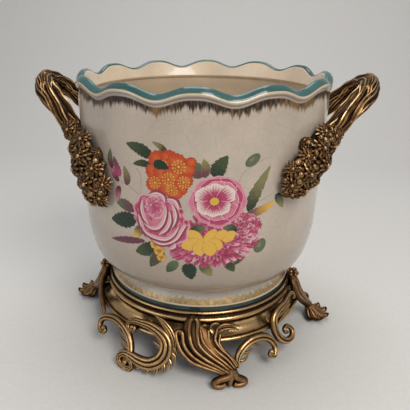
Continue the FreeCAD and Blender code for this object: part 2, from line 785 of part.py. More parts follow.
def make_handle_fasteners():
    """Stud, washer and nut inside the pot for each end of the handles."""
    studs = []
    washers = []
    nuts = []
    for index, azimuth in enumerate(stud_azimuths):
        rise = size("washer_radius")
        inside = min(inside_radius(azimuth, stud_height + shift) for shift in (-rise, 0, rise))
        seat = math.sqrt(inside ** 2 - rise ** 2) - size("washer_thickness")
        seat -= size("fit_clearance")
        nut_seat = seat - size("nut_height")
        stud_start = nut_seat - size("stud_spare")
        stud = doc.addObject("Part::Cylinder", f"stud_{index}")
        stud.setExpression("Radius", "sizes.stud_radius")
        stud.Height = wall_at_stud + size("stud_embed") - stud_start
        stud.Placement = outward(azimuth, stud_start, stud_height)
        studs.append(stud)
        for name, blank_maker, radius, height, start, members in (
                ("washer", cylinder, "washer_radius", "washer_thickness", seat, washers),
                ("nut", hexagon, "nut_radius", "nut_height", nut_seat, nuts)):
            place = outward(azimuth, start, stud_height)
            blank = blank_maker(f"{name}_blank_{index}", radius, height, place)
            bore = cylinder(f"{name}_bore_{index}", "stud_radius + fit_clearance", height, place)
            members.append(combined("Part::Cut", f"{name}_{index}", blank, bore))
    group("handle_studs", studs)
    group("handle_washers", washers)
    group("handle_nuts", nuts)


def bored(label, blank, height, placement):
    """Node made of a blank with a hole for the tie bolt."""
    bore = cylinder(label + "_bore", "bolt_radius + fit_clearance", height, placement)
    return node(combined("Part::Cut", label, blank, bore), label)


def make_tie():
    """Bolt through the drain hole, with its washers, strap and nut."""
    strap_low = worth(COLLAR_BOTTOM) - size("strap_thickness")
    nut_low = strap_low - size("bolt_head_height")
    head_low = floor_top + size("tie_seal_thickness") + size("tie_washer_thickness")
    place = upright(floor_top)
    seal = cylinder("tie_seal_blank", "tie_washer_radius", "tie_seal_thickness", place)
    bored("tie_seal", seal, "tie_seal_thickness", place)
    place = upright(floor_top + size("tie_seal_thickness"))
    washer = cylinder("tie_washer_blank", "tie_washer_radius", "tie_washer_thickness", place)
    bored("tie_washer", washer, "tie_washer_thickness", place)
    place = upright(nut_low)
    nut = hexagon("tie_nut_blank", "bolt_head_radius", "bolt_head_height", place)
    bored("tie_nut", nut, "bolt_head_height", place)
    strap = doc.addObject("Part::Box", "cross_strap_blank")
    reach = in_sheet(f"{LIP_OUTSIDE} - apron_wall - fit_clearance")
    strap.setExpression("Length", f"2 * ({reach})")
    strap.setExpression("Width", "sizes.strap_width")
    strap.setExpression("Height", "sizes.strap_thickness")
    strap.setExpression("Placement.Base.x", f"-({reach})")
    strap.setExpression("Placement.Base.y", "-sizes.strap_width / 2")
    strap.setExpression("Placement.Base.z", in_sheet(f"{COLLAR_BOTTOM} - strap_thickness"))
    bored("cross_strap", strap, "strap_thickness", upright(strap_low))
    head = hexagon("tie_bolt_head", "bolt_head_radius", "bolt_head_height", upright(head_low))
    shank = doc.addObject("Part::Cylinder", "tie_bolt_shank")
    shank.setExpression("Radius", "sizes.bolt_radius")
    shank.Height = head_low - nut_low + size("bolt_spare")
    shank.Placement = upright(nut_low - size("bolt_spare"))
    node(combined("Part::Fuse", "tie_bolt", head, shank), "tie_bolt")


def make_screws(label, azimuths, embed):
    """Screws that hold castings to the apron from inside."""
    head_face = worth(LIP_OUTSIDE) - size("apron_wall")
    screws = []
    for index, azimuth in enumerate(azimuths):
        place = outward(azimuth, head_face - size("screw_head_height"), screw_height)
        head = cylinder(f"{label}_head_{index}", "screw_head_radius", "screw_head_height", place)
        length = f"screw_head_height + apron_wall + {embed}"
        shank = cylinder(f"{label}_shank_{index}", "screw_radius", length, place)
        screws.append(combined("Part::Fuse", f"{label}_{index}", head, shank))
    group(label, screws)


def check_model():
    """Stop if any object failed or any sub-part's shape is empty or broken."""
    for obj in doc.Objects:
        if {"Invalid", "Error"} & set(obj.State):
            raise RuntimeError(f"{obj.Label} failed: {obj.State}")
    for obj in nodes:
        if obj.Shape.isNull() or not obj.Shape.isValid() or not obj.Shape.Solids:
            raise RuntimeError(f"{obj.Label} has no valid solid")


make_pot()
make_collar()
make_gasket()
make_apron()
make_base_castings()
make_handles()
make_handle_fasteners()
make_tie()
make_screws("leg_screws", leg_azimuths, "leg_screw_embed")
make_screws("scroll_screws", scroll_azimuths, "scroll_screw_embed")
doc.recompute()
check_model()
os.makedirs("parts", exist_ok=True)
for obj in nodes:
    obj.Shape.exportStep(f"parts/{obj.Label}.step")
    print(obj.Label, len(obj.Shape.Solids), "solids", round(obj.Shape.Volume))
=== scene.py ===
import math

import bmesh
import bpy
import numpy as np
from bpy.props import FloatProperty, FloatVectorProperty, IntProperty, PointerProperty
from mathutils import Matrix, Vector


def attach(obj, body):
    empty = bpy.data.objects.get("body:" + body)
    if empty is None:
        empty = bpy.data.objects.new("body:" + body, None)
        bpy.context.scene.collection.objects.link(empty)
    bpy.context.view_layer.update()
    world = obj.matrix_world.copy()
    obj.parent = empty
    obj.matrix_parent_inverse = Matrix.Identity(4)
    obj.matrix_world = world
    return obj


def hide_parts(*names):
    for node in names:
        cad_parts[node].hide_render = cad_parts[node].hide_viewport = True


bl_info = {
    "name": "Bronze-mounted planter",
    "version": (1, 0, 0),
    "blender": (4, 5, 0),
    "location": "3D View > Sidebar > Planter",
    "description": "Dresses the packed planter with its glaze, painted flowers and cast bronze mounts",
    "category": "Object",
}

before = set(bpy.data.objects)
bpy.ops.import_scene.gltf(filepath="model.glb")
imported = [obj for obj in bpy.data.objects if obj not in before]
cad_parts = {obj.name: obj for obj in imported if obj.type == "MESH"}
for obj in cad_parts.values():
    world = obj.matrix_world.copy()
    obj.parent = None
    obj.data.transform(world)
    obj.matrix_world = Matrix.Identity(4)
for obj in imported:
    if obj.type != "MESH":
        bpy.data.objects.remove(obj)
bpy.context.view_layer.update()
MM = 0.001


# Values a user would change

class PlanterSizes(bpy.types.PropertyGroup):
    """Sizes of the dressed planter."""
    lobe_count: IntProperty(name="Lobes", description="Lobes of the rim", default=12, min=3)
    lobe_dip: FloatProperty(
        name="Lobe dip", description="How far the rim falls between lobes", default=0.0067, unit="LENGTH")
    lobe_flute: FloatProperty(
        name="Flute depth", description="How far the wall draws in between lobes",
        default=0.0018, unit="LENGTH")
    lobe_phase: FloatProperty(
        name="Lobe turn", description="Azimuth of the first lobe", default=math.radians(0.5), subtype="ANGLE")
    twig_radius: FloatProperty(
        name="Twig radius", description="Radius of one twig of a handle", default=0.0030, unit="LENGTH")
    bundle_radius: FloatProperty(
        name="Bundle radius", description="Distance of the twigs from the middle of a handle",
        default=0.0058, unit="LENGTH")
    blossom_radius: FloatProperty(
        name="Blossom radius", description="Radius of a cast blossom", default=0.0092, unit="LENGTH")
    berry_radius: FloatProperty(
        name="Berry radius", description="Radius of a cast berry", default=0.0020, unit="LENGTH")
    crackle_cell: FloatProperty(
        name="Crackle cell", description="Usual distance between cracks in the glaze",
        default=0.008, unit="LENGTH")


class PlanterColours(bpy.types.PropertyGroup):
    """Colours of the dressed planter."""
    glaze: FloatVectorProperty(
        name="Glaze", description="Warm grey-white of the pot", subtype="COLOR", size=3,
        default=(0.53, 0.445, 0.365))
    cream: FloatVectorProperty(
        name="Inside glaze", description="Cream inside the rim", subtype="COLOR", size=3,
        default=(0.72, 0.58, 0.42))
    # The foot's own paler glaze, made lighter still as painted light against the shade that the belly casts
    # over it
    foot_glaze_and_painted_light: FloatVectorProperty(
        name="Foot glaze", description="Pale glaze of the foot", subtype="COLOR", size=3,
        default=(0.66, 0.62, 0.53))
    teal: FloatVectorProperty(
        name="Teal", description="Band on the lip and on the foot", subtype="COLOR", size=3,
        default=(0.028, 0.085, 0.085))
    brush: FloatVectorProperty(
        name="Brushed gold", description="Feathered band below the lip and on the foot",
        subtype="COLOR", size=3, default=(0.42, 0.24, 0.08))
    bronze_ridge: FloatVectorProperty(
        name="Bronze ridges", description="Rubbed gold of the castings' ridges", subtype="COLOR", size=3,
        default=(0.68, 0.45, 0.21))
    bronze_body: FloatVectorProperty(
        name="Bronze", description="Middle tone of the castings", subtype="COLOR", size=3,
        default=(0.265, 0.122, 0.045))
    # The recess tone serves both the patina in the hollows and the painted shade where ambient occlusion
    # finds the castings closed in
    bronze_recess: FloatVectorProperty(
        name="Bronze recesses", description="Dark patina in the castings' hollows", subtype="COLOR", size=3,
        default=(0.020, 0.010, 0.004))
    floor: FloatVectorProperty(
        name="Floor", description="Pale studio floor", subtype="COLOR", size=3, default=(0.68, 0.67, 0.65))


def sizes():
    return bpy.context.scene.planter_sizes


def colours():
    return bpy.context.scene.planter_colours


# Shader expressions

class Field:
    """Socket of a shader that takes Python's arithmetic."""

    def __init__(self, finish, socket):
        self.finish = finish
        self.socket = socket

    def math(self, operation, *values):
        return self.finish.field("ShaderNodeMath", {"operation": operation}, dict(enumerate(values)))

    def __add__(self, other):
        return self.math("ADD", self, other)

    def __radd__(self, other):
        return self.math("ADD", other, self)

    def __sub__(self, other):
        return self.math("SUBTRACT", self, other)

    def __rsub__(self, other):
        return self.math("SUBTRACT", other, self)

    def __mul__(self, other):
        return self.math("MULTIPLY", self, other)

    def __rmul__(self, other):
        return self.math("MULTIPLY", other, self)

    def __truediv__(self, other):
        return self.math("DIVIDE", self, other)

    def rise(self, low, high):
        """0 below low and 1 above high, smooth between."""
        return self.finish.field(
            "ShaderNodeMapRange", {"interpolation_type": "SMOOTHSTEP"},
            {"Value": self, "From Min": low, "From Max": high})

    def most(self, other):
        return self.math("MAXIMUM", self, other)

    def band(self, low, high, soft):
        """1 between low and high."""
        return self.rise(low - soft, low + soft) * (1 - self.rise(high - soft, high + soft))


class Finish:
    """Material built one node at a time around its Principled shader."""

    def __init__(self, name, **constants):
        self.material = bpy.data.materials.new(name)
        self.material.use_nodes = True
        self.nodes = self.material.node_tree.nodes
        self.links = self.material.node_tree.links
        self.shader = self.nodes["Principled BSDF"]
        for key, value in constants.items():
            self.shader.inputs[key.replace("_", " ")].default_value = value

    def feed(self, socket, value):
        if isinstance(value, Field):
            self.links.new(value.socket, socket)
        elif socket.type == "RGBA" and len(value) == 3:
            socket.default_value = (*value, 1)
        else:
            socket.default_value = value

    def node(self, kind, settings, sockets):
        """New node: its settings first, then the values or links of its sockets."""
        node = self.nodes.new(kind)
        for key, value in settings.items():
            setattr(node, key, value)
        for key, value in sockets.items():
            self.feed(node.inputs[key], value)
        return node

    def field(self, kind, settings, sockets, output=0):
        return Field(self, self.node(kind, settings, sockets).outputs[output])

    def attribute(self, name, output="Fac"):
        return self.field("ShaderNodeAttribute", {"attribute_name": name}, {}, output)

    def place(self, stretch=(1, 1, 1)):
        """Position on the object, stretched along its axes."""
        where = self.field("ShaderNodeNewGeometry", {}, {}, "Position")
        return self.field("ShaderNodeVectorMath", {"operation": "MULTIPLY"}, {0: where, 1: stretch})

    def noise(self, scale, detail=3, rough=0.55, vector=None):
        vector = vector or self.place()
        return self.field(
            "ShaderNodeTexNoise", {},
            {"Vector": vector, "Scale": scale, "Detail": detail, "Roughness": rough})

    def split(self, vector):
        node = self.node("ShaderNodeSeparateXYZ", {}, {0: vector})
        return [Field(self, output) for output in node.outputs]

    def mix(self, factor, first, second):
        """Colour from the first, at factor 0, to the second, at factor 1."""
        return self.field(
            "ShaderNodeMix", {"data_type": "RGBA", "blend_type": "MIX", "clamp_factor": True},
            {0: factor, 6: first, 7: second}, 2)

    def bump(self, height, distance, strength=1.0):
        normal = self.field(
            "ShaderNodeBump", {}, {"Height": height, "Distance": distance, "Strength": strength})
        self.set("Normal", normal)

    def set(self, socket, value):
        self.feed(self.shader.inputs[socket], value)


# Mesh making

def unit(vectors):
    return vectors / np.maximum(np.linalg.norm(vectors, axis=-1, keepdims=True), 1e-9)


def smooth_line(points, count):
    """Smooth curve through points, sampled at an even step of its parameter."""
    points = np.asarray(points, float)
    ends = np.vstack([2 * points[0] - points[1], points, 2 * points[-1] - points[-2]])
    knots = np.linspace(0, len(points) - 1, count)
    index = np.minimum(knots.astype(int), len(points) - 2)
    part = (knots - index)[:, None]
    a, b, c, d = (ends[index + shift] for shift in range(4))
    return 0.5 * (2 * b + (c - a) * part + (2 * a - 5 * b + 4 * c - d) * part ** 2
                  + (3 * b - a - 3 * c + d) * part ** 3)


def polar(azimuth, radius, height):
    """Points at azimuths in degrees from the front, positive to the right."""
    turn = np.radians(np.asarray(azimuth, float))
    radius = np.asarray(radius, float)
    return np.stack(np.broadcast_arrays(radius * np.sin(turn), -radius * np.cos(turn), height), -1)


def closed_grid(rows, around):
    """Faces of a grid of points that closes on itself both ways."""
    index = np.arange(rows * around).reshape(rows, around)
    after = np.roll(index, -1, 0)
    return np.stack([index, np.roll(index, -1, 1), np.roll(after, -1, 1), after], -1).reshape(-1, 4).tolist()


def face_outwards(mesh):
    """Turn all faces of a mesh to its outside."""
    shell = bmesh.new()
    shell.from_mesh(mesh)
    bmesh.ops.recalc_face_normals(shell, faces=shell.faces)
    shell.to_mesh(mesh)
    shell.free()


class Form:
    """Mesh in the making, in millimetres, with a relief from 0 in a hollow to 1 on a ridge at each point."""

    def __init__(self):
        self.points = []
        self.faces = []
        self.relief = []
        self.total = 0

    def add(self, points, faces, relief):
        points = np.asarray(points, float).reshape(-1, 3)
        self.points.append(points)
        self.relief.append(np.broadcast_to(np.ravel(relief), len(points)))
        self.faces += [[self.total + corner for corner in face] for face in faces]
        self.total += len(points)

    def rings(self, rings, relief):
        """Skin over closed rings of points, with its two ends closed."""
        rows, around = rings.shape[:2]
        index = np.arange(rows * around).reshape(rows, around)
        low, high = index[:-1], index[1:]
        quads = np.stack([low, np.roll(low, -1, 1), np.roll(high, -1, 1), high], -1).reshape(-1, 4).tolist()
        points = rings.reshape(-1, 3)
        relief = np.broadcast_to(relief, (rows, around)).reshape(-1)
        first, last = len(points), len(points) + 1
        points = np.vstack([points, rings[0].mean(0), rings[-1].mean(0)])
        relief = np.append(relief, [relief[:around].mean(), relief[-around:].mean()])
        for corner in range(around):
            follower = (corner + 1) % around
            quads.append([index[0][follower], index[0][corner], first])
            quads.append([index[-1][corner], index[-1][follower], last])
        self.add(points, quads, relief)

    def copy(self, change):
        """The same form with its points changed by a function."""
        other = Form()
        other.points = [change(points.copy()) for points in self.points]
        other.faces = self.faces
        other.relief = self.relief
        other.total = self.total
        return other

    def piece(self, name, material, slot, nodes, sharp=50):
        """Blender object that rides on the part and stands for CAD nodes."""
        mesh = bpy.data.meshes.new(name)
        mesh.from_pydata((np.vstack(self.points) * MM).tolist(), [], self.faces)
        face_outwards(mesh)
        relief = mesh.attributes.new("relief", "FLOAT", "POINT")
        relief.data.foreach_set("value", np.concatenate(self.relief).astype(np.float32))
        mesh.polygons.foreach_set("use_smooth", [True] * len(mesh.polygons))
        mesh.set_sharp_from_angle(angle=math.radians(sharp))
        mesh.materials.append(material)
        return settle(bpy.data.objects.new(name, mesh), nodes)


def settle(piece, nodes):
    """Link a piece, let it ride on the part and hide the CAD nodes that it stands for."""
    bpy.context.scene.collection.objects.link(piece)
    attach(piece, "root")
    if nodes:
        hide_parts(*nodes)
    return piece


def half_turned(points):
    return points * (-1, -1, 1)


def mirrored(points):
    return points * (-1, 1, 1)


def swapped(points):
    return points * (1, -1, 1)


def sweep(form, line, wide, thick, ribs=1, groove=0.35, lean=0.3, steps=6, back=0.6, face=None, fade=1.0):
    """Cast band along a line of points: half width, half thickness, and ribs on its outer face."""
    line = np.asarray(line, float)
    count = (len(line) - 1) * steps + 1
    path = smooth_line(line, count)
    wide, thick = (
        np.maximum(smooth_line(np.broadcast_to(np.ravel(value), len(line))[:, None], count), 0.05)
        for value in (wide, thick))
    along = unit(np.gradient(path, axis=0))
    outer = unit(path * (1, 1, 0)) + (0, 0, lean) if face is None else np.broadcast_to(face, path.shape)
    outer = unit(outer - along * (outer * along).sum(1, keepdims=True))
    side = np.cross(outer, along)
    across = np.linspace(-1, 1, max(ribs * 6, 8) + 1)
    local = 2 * (((across + 1) / 2 * ribs) % 1) - 1
    crest = np.sqrt(np.maximum(1 - local ** 2, 0)) if ribs > 1 else np.sqrt(np.maximum(1 - across ** 2, 0))
    dome = np.sqrt(np.maximum(1 - across ** 2, 0))
    front = dome * (1 - groove) + groove * crest * dome ** 0.4 if ribs > 1 else dome
    under = np.cos(np.linspace(0, math.pi, 6))[1:-1]
    profile = np.concatenate([across, under])
    height = np.concatenate([front, -back * np.sqrt(1 - under ** 2)])
    relief = np.concatenate([crest ** 1.5, np.full(len(under), 0.1)])
    rings = (path[:, None] + side[:, None] * (wide * profile)[..., None]
             + outer[:, None] * (thick * height)[..., None])
    form.rings(rings, relief * np.linspace(fade, 1, count)[:, None])


def ball(form, centre, radius, relief=0.9):
    """Small round berry or boss."""
    tilt = np.linspace(0.12, math.pi - 0.12, 7)
    turn = np.linspace(0, 2 * math.pi, 10, endpoint=False)
    rings = np.stack([
        np.outer(np.sin(tilt), np.cos(turn)), np.outer(np.sin(tilt), np.sin(turn)),
        np.outer(np.cos(tilt), np.ones(len(turn)))], -1)
    form.rings(np.asarray(centre) + rings * radius, relief)


def lathe(form, outline, columns=240):
    """Ring turned about the axis from radius, height and relief round its closed outline."""
    outline = np.asarray(outline, float)
    turn = np.linspace(0, 360, columns, endpoint=False)
    rings = polar(turn[:, None], outline[None, :, 0], outline[None, :, 1])
    form.add(rings, closed_grid(*rings.shape[:2]), np.broadcast_to(outline[:, 2], rings.shape[:2]))


# Finishes

def bronze_finish(name, worn, patina):
    """Gilt bronze: gold ridges, more of them the more it is worn, over a dark patina in the hollows and
    painted shade where ambient occlusion finds the surface closed in.
    """
    finish = Finish(name, Specular_IOR_Level=0.5)
    tones = colours()
    relief = finish.attribute("relief")
    cloud = finish.noise(160, 4, 0.6)
    grime = finish.noise(620, 3, 0.6)
    # Ambient occlusion: painted shade, darker where nearby parts close the surface in, on top of the patina
    # that the relief gives the hollows; gilt only where it is open
    hollow = finish.field("ShaderNodeAmbientOcclusion", {"samples": 8}, {"Distance": 0.007}, "AO")
    height = relief * 0.75 + cloud * 0.5 - 0.22
    open_air = hollow.rise(0.25, 0.85)
    body = finish.mix(
        (height * open_air).rise(0.02, 0.42) * (1 - patina), tones.bronze_recess, tones.bronze_body)
    gilt = (height * open_air * worn + (grime - 0.5) * 0.35).rise(0.38, 0.92)
    colour = finish.mix(gilt, body, tones.bronze_ridge)
    finish.set("Base Color", colour)
    finish.set("Metallic", 0.45 + 0.5 * open_air)
    finish.set("Roughness", 0.46 - 0.20 * gilt + (grime - 0.5) * 0.16)
    finish.bump(cloud * 0.6 + grime * 0.4, 0.0005, 0.35)
    return finish.material


def plain_metal(name, colour, rough):
    """Turned metal with faint wear, for fasteners and the strap."""
    finish = Finish(name)
    wear = finish.noise(400, 4, 0.6)
    finish.set("Base Color", finish.mix(
        wear.rise(0.35, 0.75), tuple(0.55 * part for part in colour), colour))
    finish.set("Metallic", 0.9 + 0.1 * wear)
    finish.set("Roughness", rough + 0.2 * wear)
    finish.bump(wear, 0.0002, 0.3)
    return finish.material


def grained(name, dark, pale, scale, rough):
    """Soft washer or cork: speckled, matt."""
    finish = Finish(name)
    grain = finish.noise(scale, 5, 0.7)
    finish.set("Base Color", finish.mix(grain.rise(0.3, 0.7), dark, pale))
    finish.set("Roughness", rough + 0.1 * grain)
    finish.bump(grain, 0.0004, 0.5)
    return finish.material


def crackle(finish):
    """Fine network of cracks in a glaze, 1 in a crack."""
    cell = sizes().crackle_cell
    lines = 0
    for scale, width, weight in ((1 / cell, 0.035, 1.0), (2.1 / cell, 0.03, 0.6)):
        edge = finish.field(
            "ShaderNodeTexVoronoi", {"feature": "DISTANCE_TO_EDGE"},
            {"Vector": finish.place(), "Scale": scale}, "Distance")
        lines = (1 - edge.rise(0.0, width)) * weight + lines
    return lines


# Bands on the lip and inside the mouth: distance in millimetres down the outside from the lip's lower edge,
# so that it is negative over the lip and down the inside
# Span down the inside of the mouth over which painted shade comes in
MOUTH_SHADE_SPAN = (-46, -32)
MOUTH_EDGE = (-16.6, -15.8)
LIP_TEAL = (-15.8, -5.2)
LIP_LINE = (-5.0, -4.0)
# Band of painted shadow under the rolled lip
LIP_SHADE = (-2.9, -1.9)
BRUSH_TOP = (1.4, 2.6)
WALL_START = (20, 30)
FOOT_START = (40, 60)
# Bands on the foot and the low belly: height in millimetres
FOOT_TEAL = (60.1, 60.5)
FOOT_LINE = (60.4, 61.1)
FOOT_BRUSH = (61.2, 62.0)
FOOT_TOP = (76, 77.5)
# Heights over which painted shade on the low belly starts above the foot and fades out upwards
TUCK_START = (76, 78)
TUCK_END = (84, 150)
# Glaze tones
# Painted shade deep in the mouth
MOUTH_PAINTED_SHADE = (0.40, 0.31, 0.20)
# Painted shade on the low belly, which turns down towards the floor
TUCK_PAINTED_SHADE = (0.29, 0.225, 0.165)
CLOUD_SHADE = (0.34, 0.30, 0.25)
CRACK_STAIN = (0.20, 0.15, 0.10)
# Painted shadow under the rolled lip
LIP_PAINTED_SHADOW = (0.13, 0.08, 0.04)
FOOT_GOLD = (0.66, 0.44, 0.20)
DARK_BRUSH = (0.024, 0.011, 0.005)
PALE_TEAL = (0.055, 0.135, 0.13)
DARK_TEAL = (0.016, 0.034, 0.034)
LINE_GOLD = (0.62, 0.48, 0.30)
PAINT_STAIN = (0.16, 0.10, 0.07)


def glaze_finish():
    """Crackled glaze with the teal lip and foot bands and the feathered gold brushwork, with painted shade
    deep in the mouth, under the lip and on the low belly.
    """
    finish = Finish("crackle_glaze", Coat_Weight=0.5, Coat_Roughness=0.05, Specular_IOR_Level=0.4)
    tones = colours()
    run = finish.attribute("run")
    high = finish.attribute("high")
    streak = finish.noise(260, 3, 0.7, finish.place((1, 1, 0.06)))
    thread = finish.noise(760, 2, 0.6, finish.place((1, 1, 0.03)))
    cloud = finish.noise(28, 3)
    foot = run.rise(*FOOT_START) * (1 - high.rise(*FOOT_TOP))
    inside = 1 - run.rise(*MOUTH_EDGE)
    cracks = crackle(finish)
    base = finish.mix(inside, tones.glaze, tones.cream)
    # Painted shade deep in the mouth, where little light reaches
    base = finish.mix((1 - run.rise(*MOUTH_SHADE_SPAN)) * 0.5, base, MOUTH_PAINTED_SHADE)
    # Painted shade on the low belly above the foot
    tuck_painted_shade = (1 - high.rise(*TUCK_END)) * high.rise(*TUCK_START) * run.rise(*WALL_START)
    base = finish.mix(tuck_painted_shade * 0.6, base, TUCK_PAINTED_SHADE)
    # Foot's paler glaze, lightened partly as painted light against the belly's shade
    base = finish.mix(foot * 0.75, base, tones.foot_glaze_and_painted_light)
    base = finish.mix(cloud.rise(0.35, 0.7) * 0.3, base, CLOUD_SHADE)
    base = finish.mix(cracks * 0.16 * (1 - 0.5 * inside), base, CRACK_STAIN)
    reach = 5.8 + 5.5 * streak.rise(0.35, 0.75) + 5.0 * thread.rise(0.5, 0.85)
    rim_brush = (run.rise(*BRUSH_TOP) * (1 - ((run - reach) / 2.4).rise(-1, 1))
                 * (0.75 + 0.25 * thread.rise(0.2, 0.5)))
    climb = 64.5 + 4.5 * streak.rise(0.35, 0.75) + 4.5 * thread.rise(0.5, 0.85)
    foot_brush = high.rise(*FOOT_BRUSH) * (1 - ((high - climb) / 2.0).rise(-1, 1)) * foot
    brush = rim_brush.most(foot_brush)
    line = run.band(*LIP_LINE, 0.2).most(high.band(*FOOT_LINE, 0.2) * foot)
    # Painted shadow under the rolled lip
    shade = run.band(*LIP_SHADE, 0.4)
    teal = run.band(*LIP_TEAL, 0.3).most((1 - high.rise(*FOOT_TEAL)) * foot)
    gilt = (cloud * 0.6 + streak * 0.4).rise(0.49, 0.66).most(foot * (0.5 + 0.5 * streak.rise(0.4, 0.6)))
    colour = finish.mix(shade * 0.3, base, LIP_PAINTED_SHADOW)
    gold = finish.mix(foot, tones.brush, FOOT_GOLD)
    colour = finish.mix(brush, colour, finish.mix(gilt, DARK_BRUSH, gold))
    sea = finish.mix(cloud.rise(0.3, 0.7), tones.teal, PALE_TEAL)
    colour = finish.mix(teal, colour, finish.mix(foot, sea, DARK_TEAL))
    colour = finish.mix(line, colour, LINE_GOLD)
    finish.set("Base Color", colour)
    finish.set("Metallic", brush * gilt * 0.9)
    finish.set("Roughness", 0.16 + 0.10 * cloud + 0.14 * brush)
    finish.bump(cloud * 0.9 - cracks * 0.12, 0.0012, 0.25)
    return finish.material


def enamel_finish():
    """Painted petals and leaves: a tone that runs from root to tip, streaked along the stroke."""
    finish = Finish("painted_enamel", Coat_Weight=0.3, Coat_Roughness=0.06, Specular_IOR_Level=0.25)
    grade, across, edge = finish.split(finish.attribute("stroke", "Vector"))
    fine = finish.noise(520, 2)
    lines = finish.field("ShaderNodeMath", {"operation": "SINE"}, {0: across * 21 + fine * 5})
    tone = grade + lines * 0.13 + (fine - 0.5) * 0.35
    colour = finish.mix(
        tone.rise(0.12, 0.88), finish.attribute("root_tint", "Color"), finish.attribute("tip_tint", "Color"))
    colour = finish.mix(edge.rise(0.62, 0.95), colour, finish.attribute("edge_tint", "Color"))
    colour = finish.mix(crackle(finish) * 0.10, colour, PAINT_STAIN)
    finish.set("Base Color", colour)
    finish.set("Roughness", 0.2 + 0.12 * fine)
    return finish.material


# Pot

# Runs of the pot's outline from the drain hole under the foot, up the outside, over the lip and down to the
# drain again: radius and height in millimetres, and the shares of the lobes' fluting and dip
POT_RUNS = (
    ((5.5, 73, 0, 0), (45, 73, 0, 0), (83.5, 73, 0, 0)),
    ((83.5, 73, 0, 0), (83.5, 63, 0, 0), (83.5, 53, 0, 0)),
    ((83.5, 53, 0, 0), (90, 53, 0, 0), (95, 53, 0, 0)),
    ((95, 53, 0, 0), (95.5, 54, 0, 0), (95.5, 57.5, 0, 0), (95.3, 60.8, 0, 0), (92.9, 65.7, 0, 0),
     (90.3, 71.0, 0, 0), (88.8, 75.2, 0, 0), (88.7, 76.6, 0, 0)),
    ((88.7, 76.6, 0, 0), (92.5, 77.2, 0, 0), (99, 79, 0, 0), (104.8, 82.4, 0, 0), (110.2, 91, 0, 0),
     (113.8, 102.6, 0, 0), (116.8, 120.5, 0, 0), (117.8, 147.9, 0.1, 0), (118.8, 179.6, 0.5, 0),
     (120, 217.6, 0.9, 0.1), (120.5, 240, 1, 0.6), (120, 252.5, 1, 0.95), (119.5, 256.4, 1, 1)),
    ((119.5, 256.4, 1, 1), (121.2, 256.9, 1, 1), (122.1, 258.1, 1, 1), (121.9, 259.5, 1, 1),
     (120.3, 262, 1, 1), (118, 264, 1, 1), (116.2, 264.3, 1, 1), (114.6, 263.6, 1, 1),
     (113.2, 261.6, 0.9, 0.95)),
    ((113.2, 261.6, 0.9, 0.95), (110.6, 255, 0.4, 0.5), (108.3, 249, 0, 0.05), (107.9, 247.4, 0, 0),
     (108.8, 245.6, 0, 0), (110.6, 242, 0, 0), (111.6, 215, 0, 0), (111, 180, 0, 0), (110.6, 148, 0, 0),
     (109, 120, 0, 0), (104, 101, 0, 0), (95, 89.8, 0, 0), (84, 86, 0, 0)),
    ((84, 86, 0, 0), (45, 86, 0, 0), (5.5, 86, 0, 0)),
)
WALL_RUN = 4
LIP_RUN = 5
# Points between two places of the outline, and columns round the pot
POT_STEPS = 6
POT_COLUMNS = 360


def lobe_fall(azimuth):
    """0 on the crest of a lobe and 1 in the dip between two, for azimuths in degrees."""
    turn = np.radians(azimuth) - sizes().lobe_phase
    return ((1 - np.cos(sizes().lobe_count * turn)) / 2) ** 1.4


def pot_point(azimuth, row):
    """Points of the pot from rows of radius, height, fluting and dip."""
    fall = lobe_fall(azimuth)
    radius = row[..., 0] - row[..., 2] * sizes().lobe_flute / MM * fall
    return polar(azimuth, radius, row[..., 1] - row[..., 3] * sizes().lobe_dip / MM * fall)


def wall_point(azimuth, height, lift):
    """Points on or above the outside of the pot at a height."""
    wall = smooth_line(POT_RUNS[WALL_RUN], 400)
    row = np.stack([np.interp(height, wall[:, 1], wall[:, column]) for column in range(4)], -1)
    row[..., 0] += lift
    row[..., 1] = height
    return pot_point(azimuth, row)


class PLANTER_OT_pot(bpy.types.Operator):
    """Glazed pot with its lobed lip, mouth and foot"""
    bl_idname = "planter.pot"
    bl_label = "Pot"

    def execute(self, context):
        rows = [smooth_line(run, (len(run) - 1) * POT_STEPS + 1)[:-1] for run in POT_RUNS]
        lip_start = sum(len(part) for part in rows[:LIP_RUN])
        rows = np.concatenate(rows)
        length = np.concatenate([[0], np.cumsum(np.linalg.norm(np.diff(rows[:, :2], axis=0), axis=1))])
        run = length[lip_start] - length
        columns = POT_COLUMNS
        turn = np.linspace(0, 360, columns, endpoint=False)
        points = pot_point(np.broadcast_to(turn[:, None], (columns, len(rows))), rows[None])
        count = len(rows)
        mesh = bpy.data.meshes.new("glazed_pot")
        mesh.from_pydata((points.reshape(-1, 3) * MM).tolist(), [], closed_grid(columns, count))
        total = length[-1] + np.linalg.norm(rows[-1, :2] - rows[0, :2])
        high = np.append(length, total) / total
        layer = mesh.uv_layers.new(name="OFBake")
        first = np.repeat(np.arange(columns), count)
        low = np.tile(np.arange(count), columns)
        corners = np.stack([
            np.stack([(first + side) / columns, high[low + up]], -1)
            for side, up in ((0, 0), (0, 1), (1, 1), (1, 0))], 1)
        layer.uv.foreach_set("vector", corners.reshape(-1).astype(np.float32))
        for name, values in (("run", run), ("high", rows[:, 1])):
            layer = mesh.attributes.new(name, "FLOAT", "POINT")
            layer.data.foreach_set("value", np.tile(values, columns).astype(np.float32))
        mesh.polygons.foreach_set("use_smooth", [True] * len(mesh.polygons))
        face_outwards(mesh)
        mesh.set_sharp_from_angle(angle=math.radians(55))
        mesh.materials.append(glaze_finish())
        settle(bpy.data.objects.new("glazed_pot", mesh), ["ceramic_pot"])
        return {"FINISHED"}


# Painted flowers

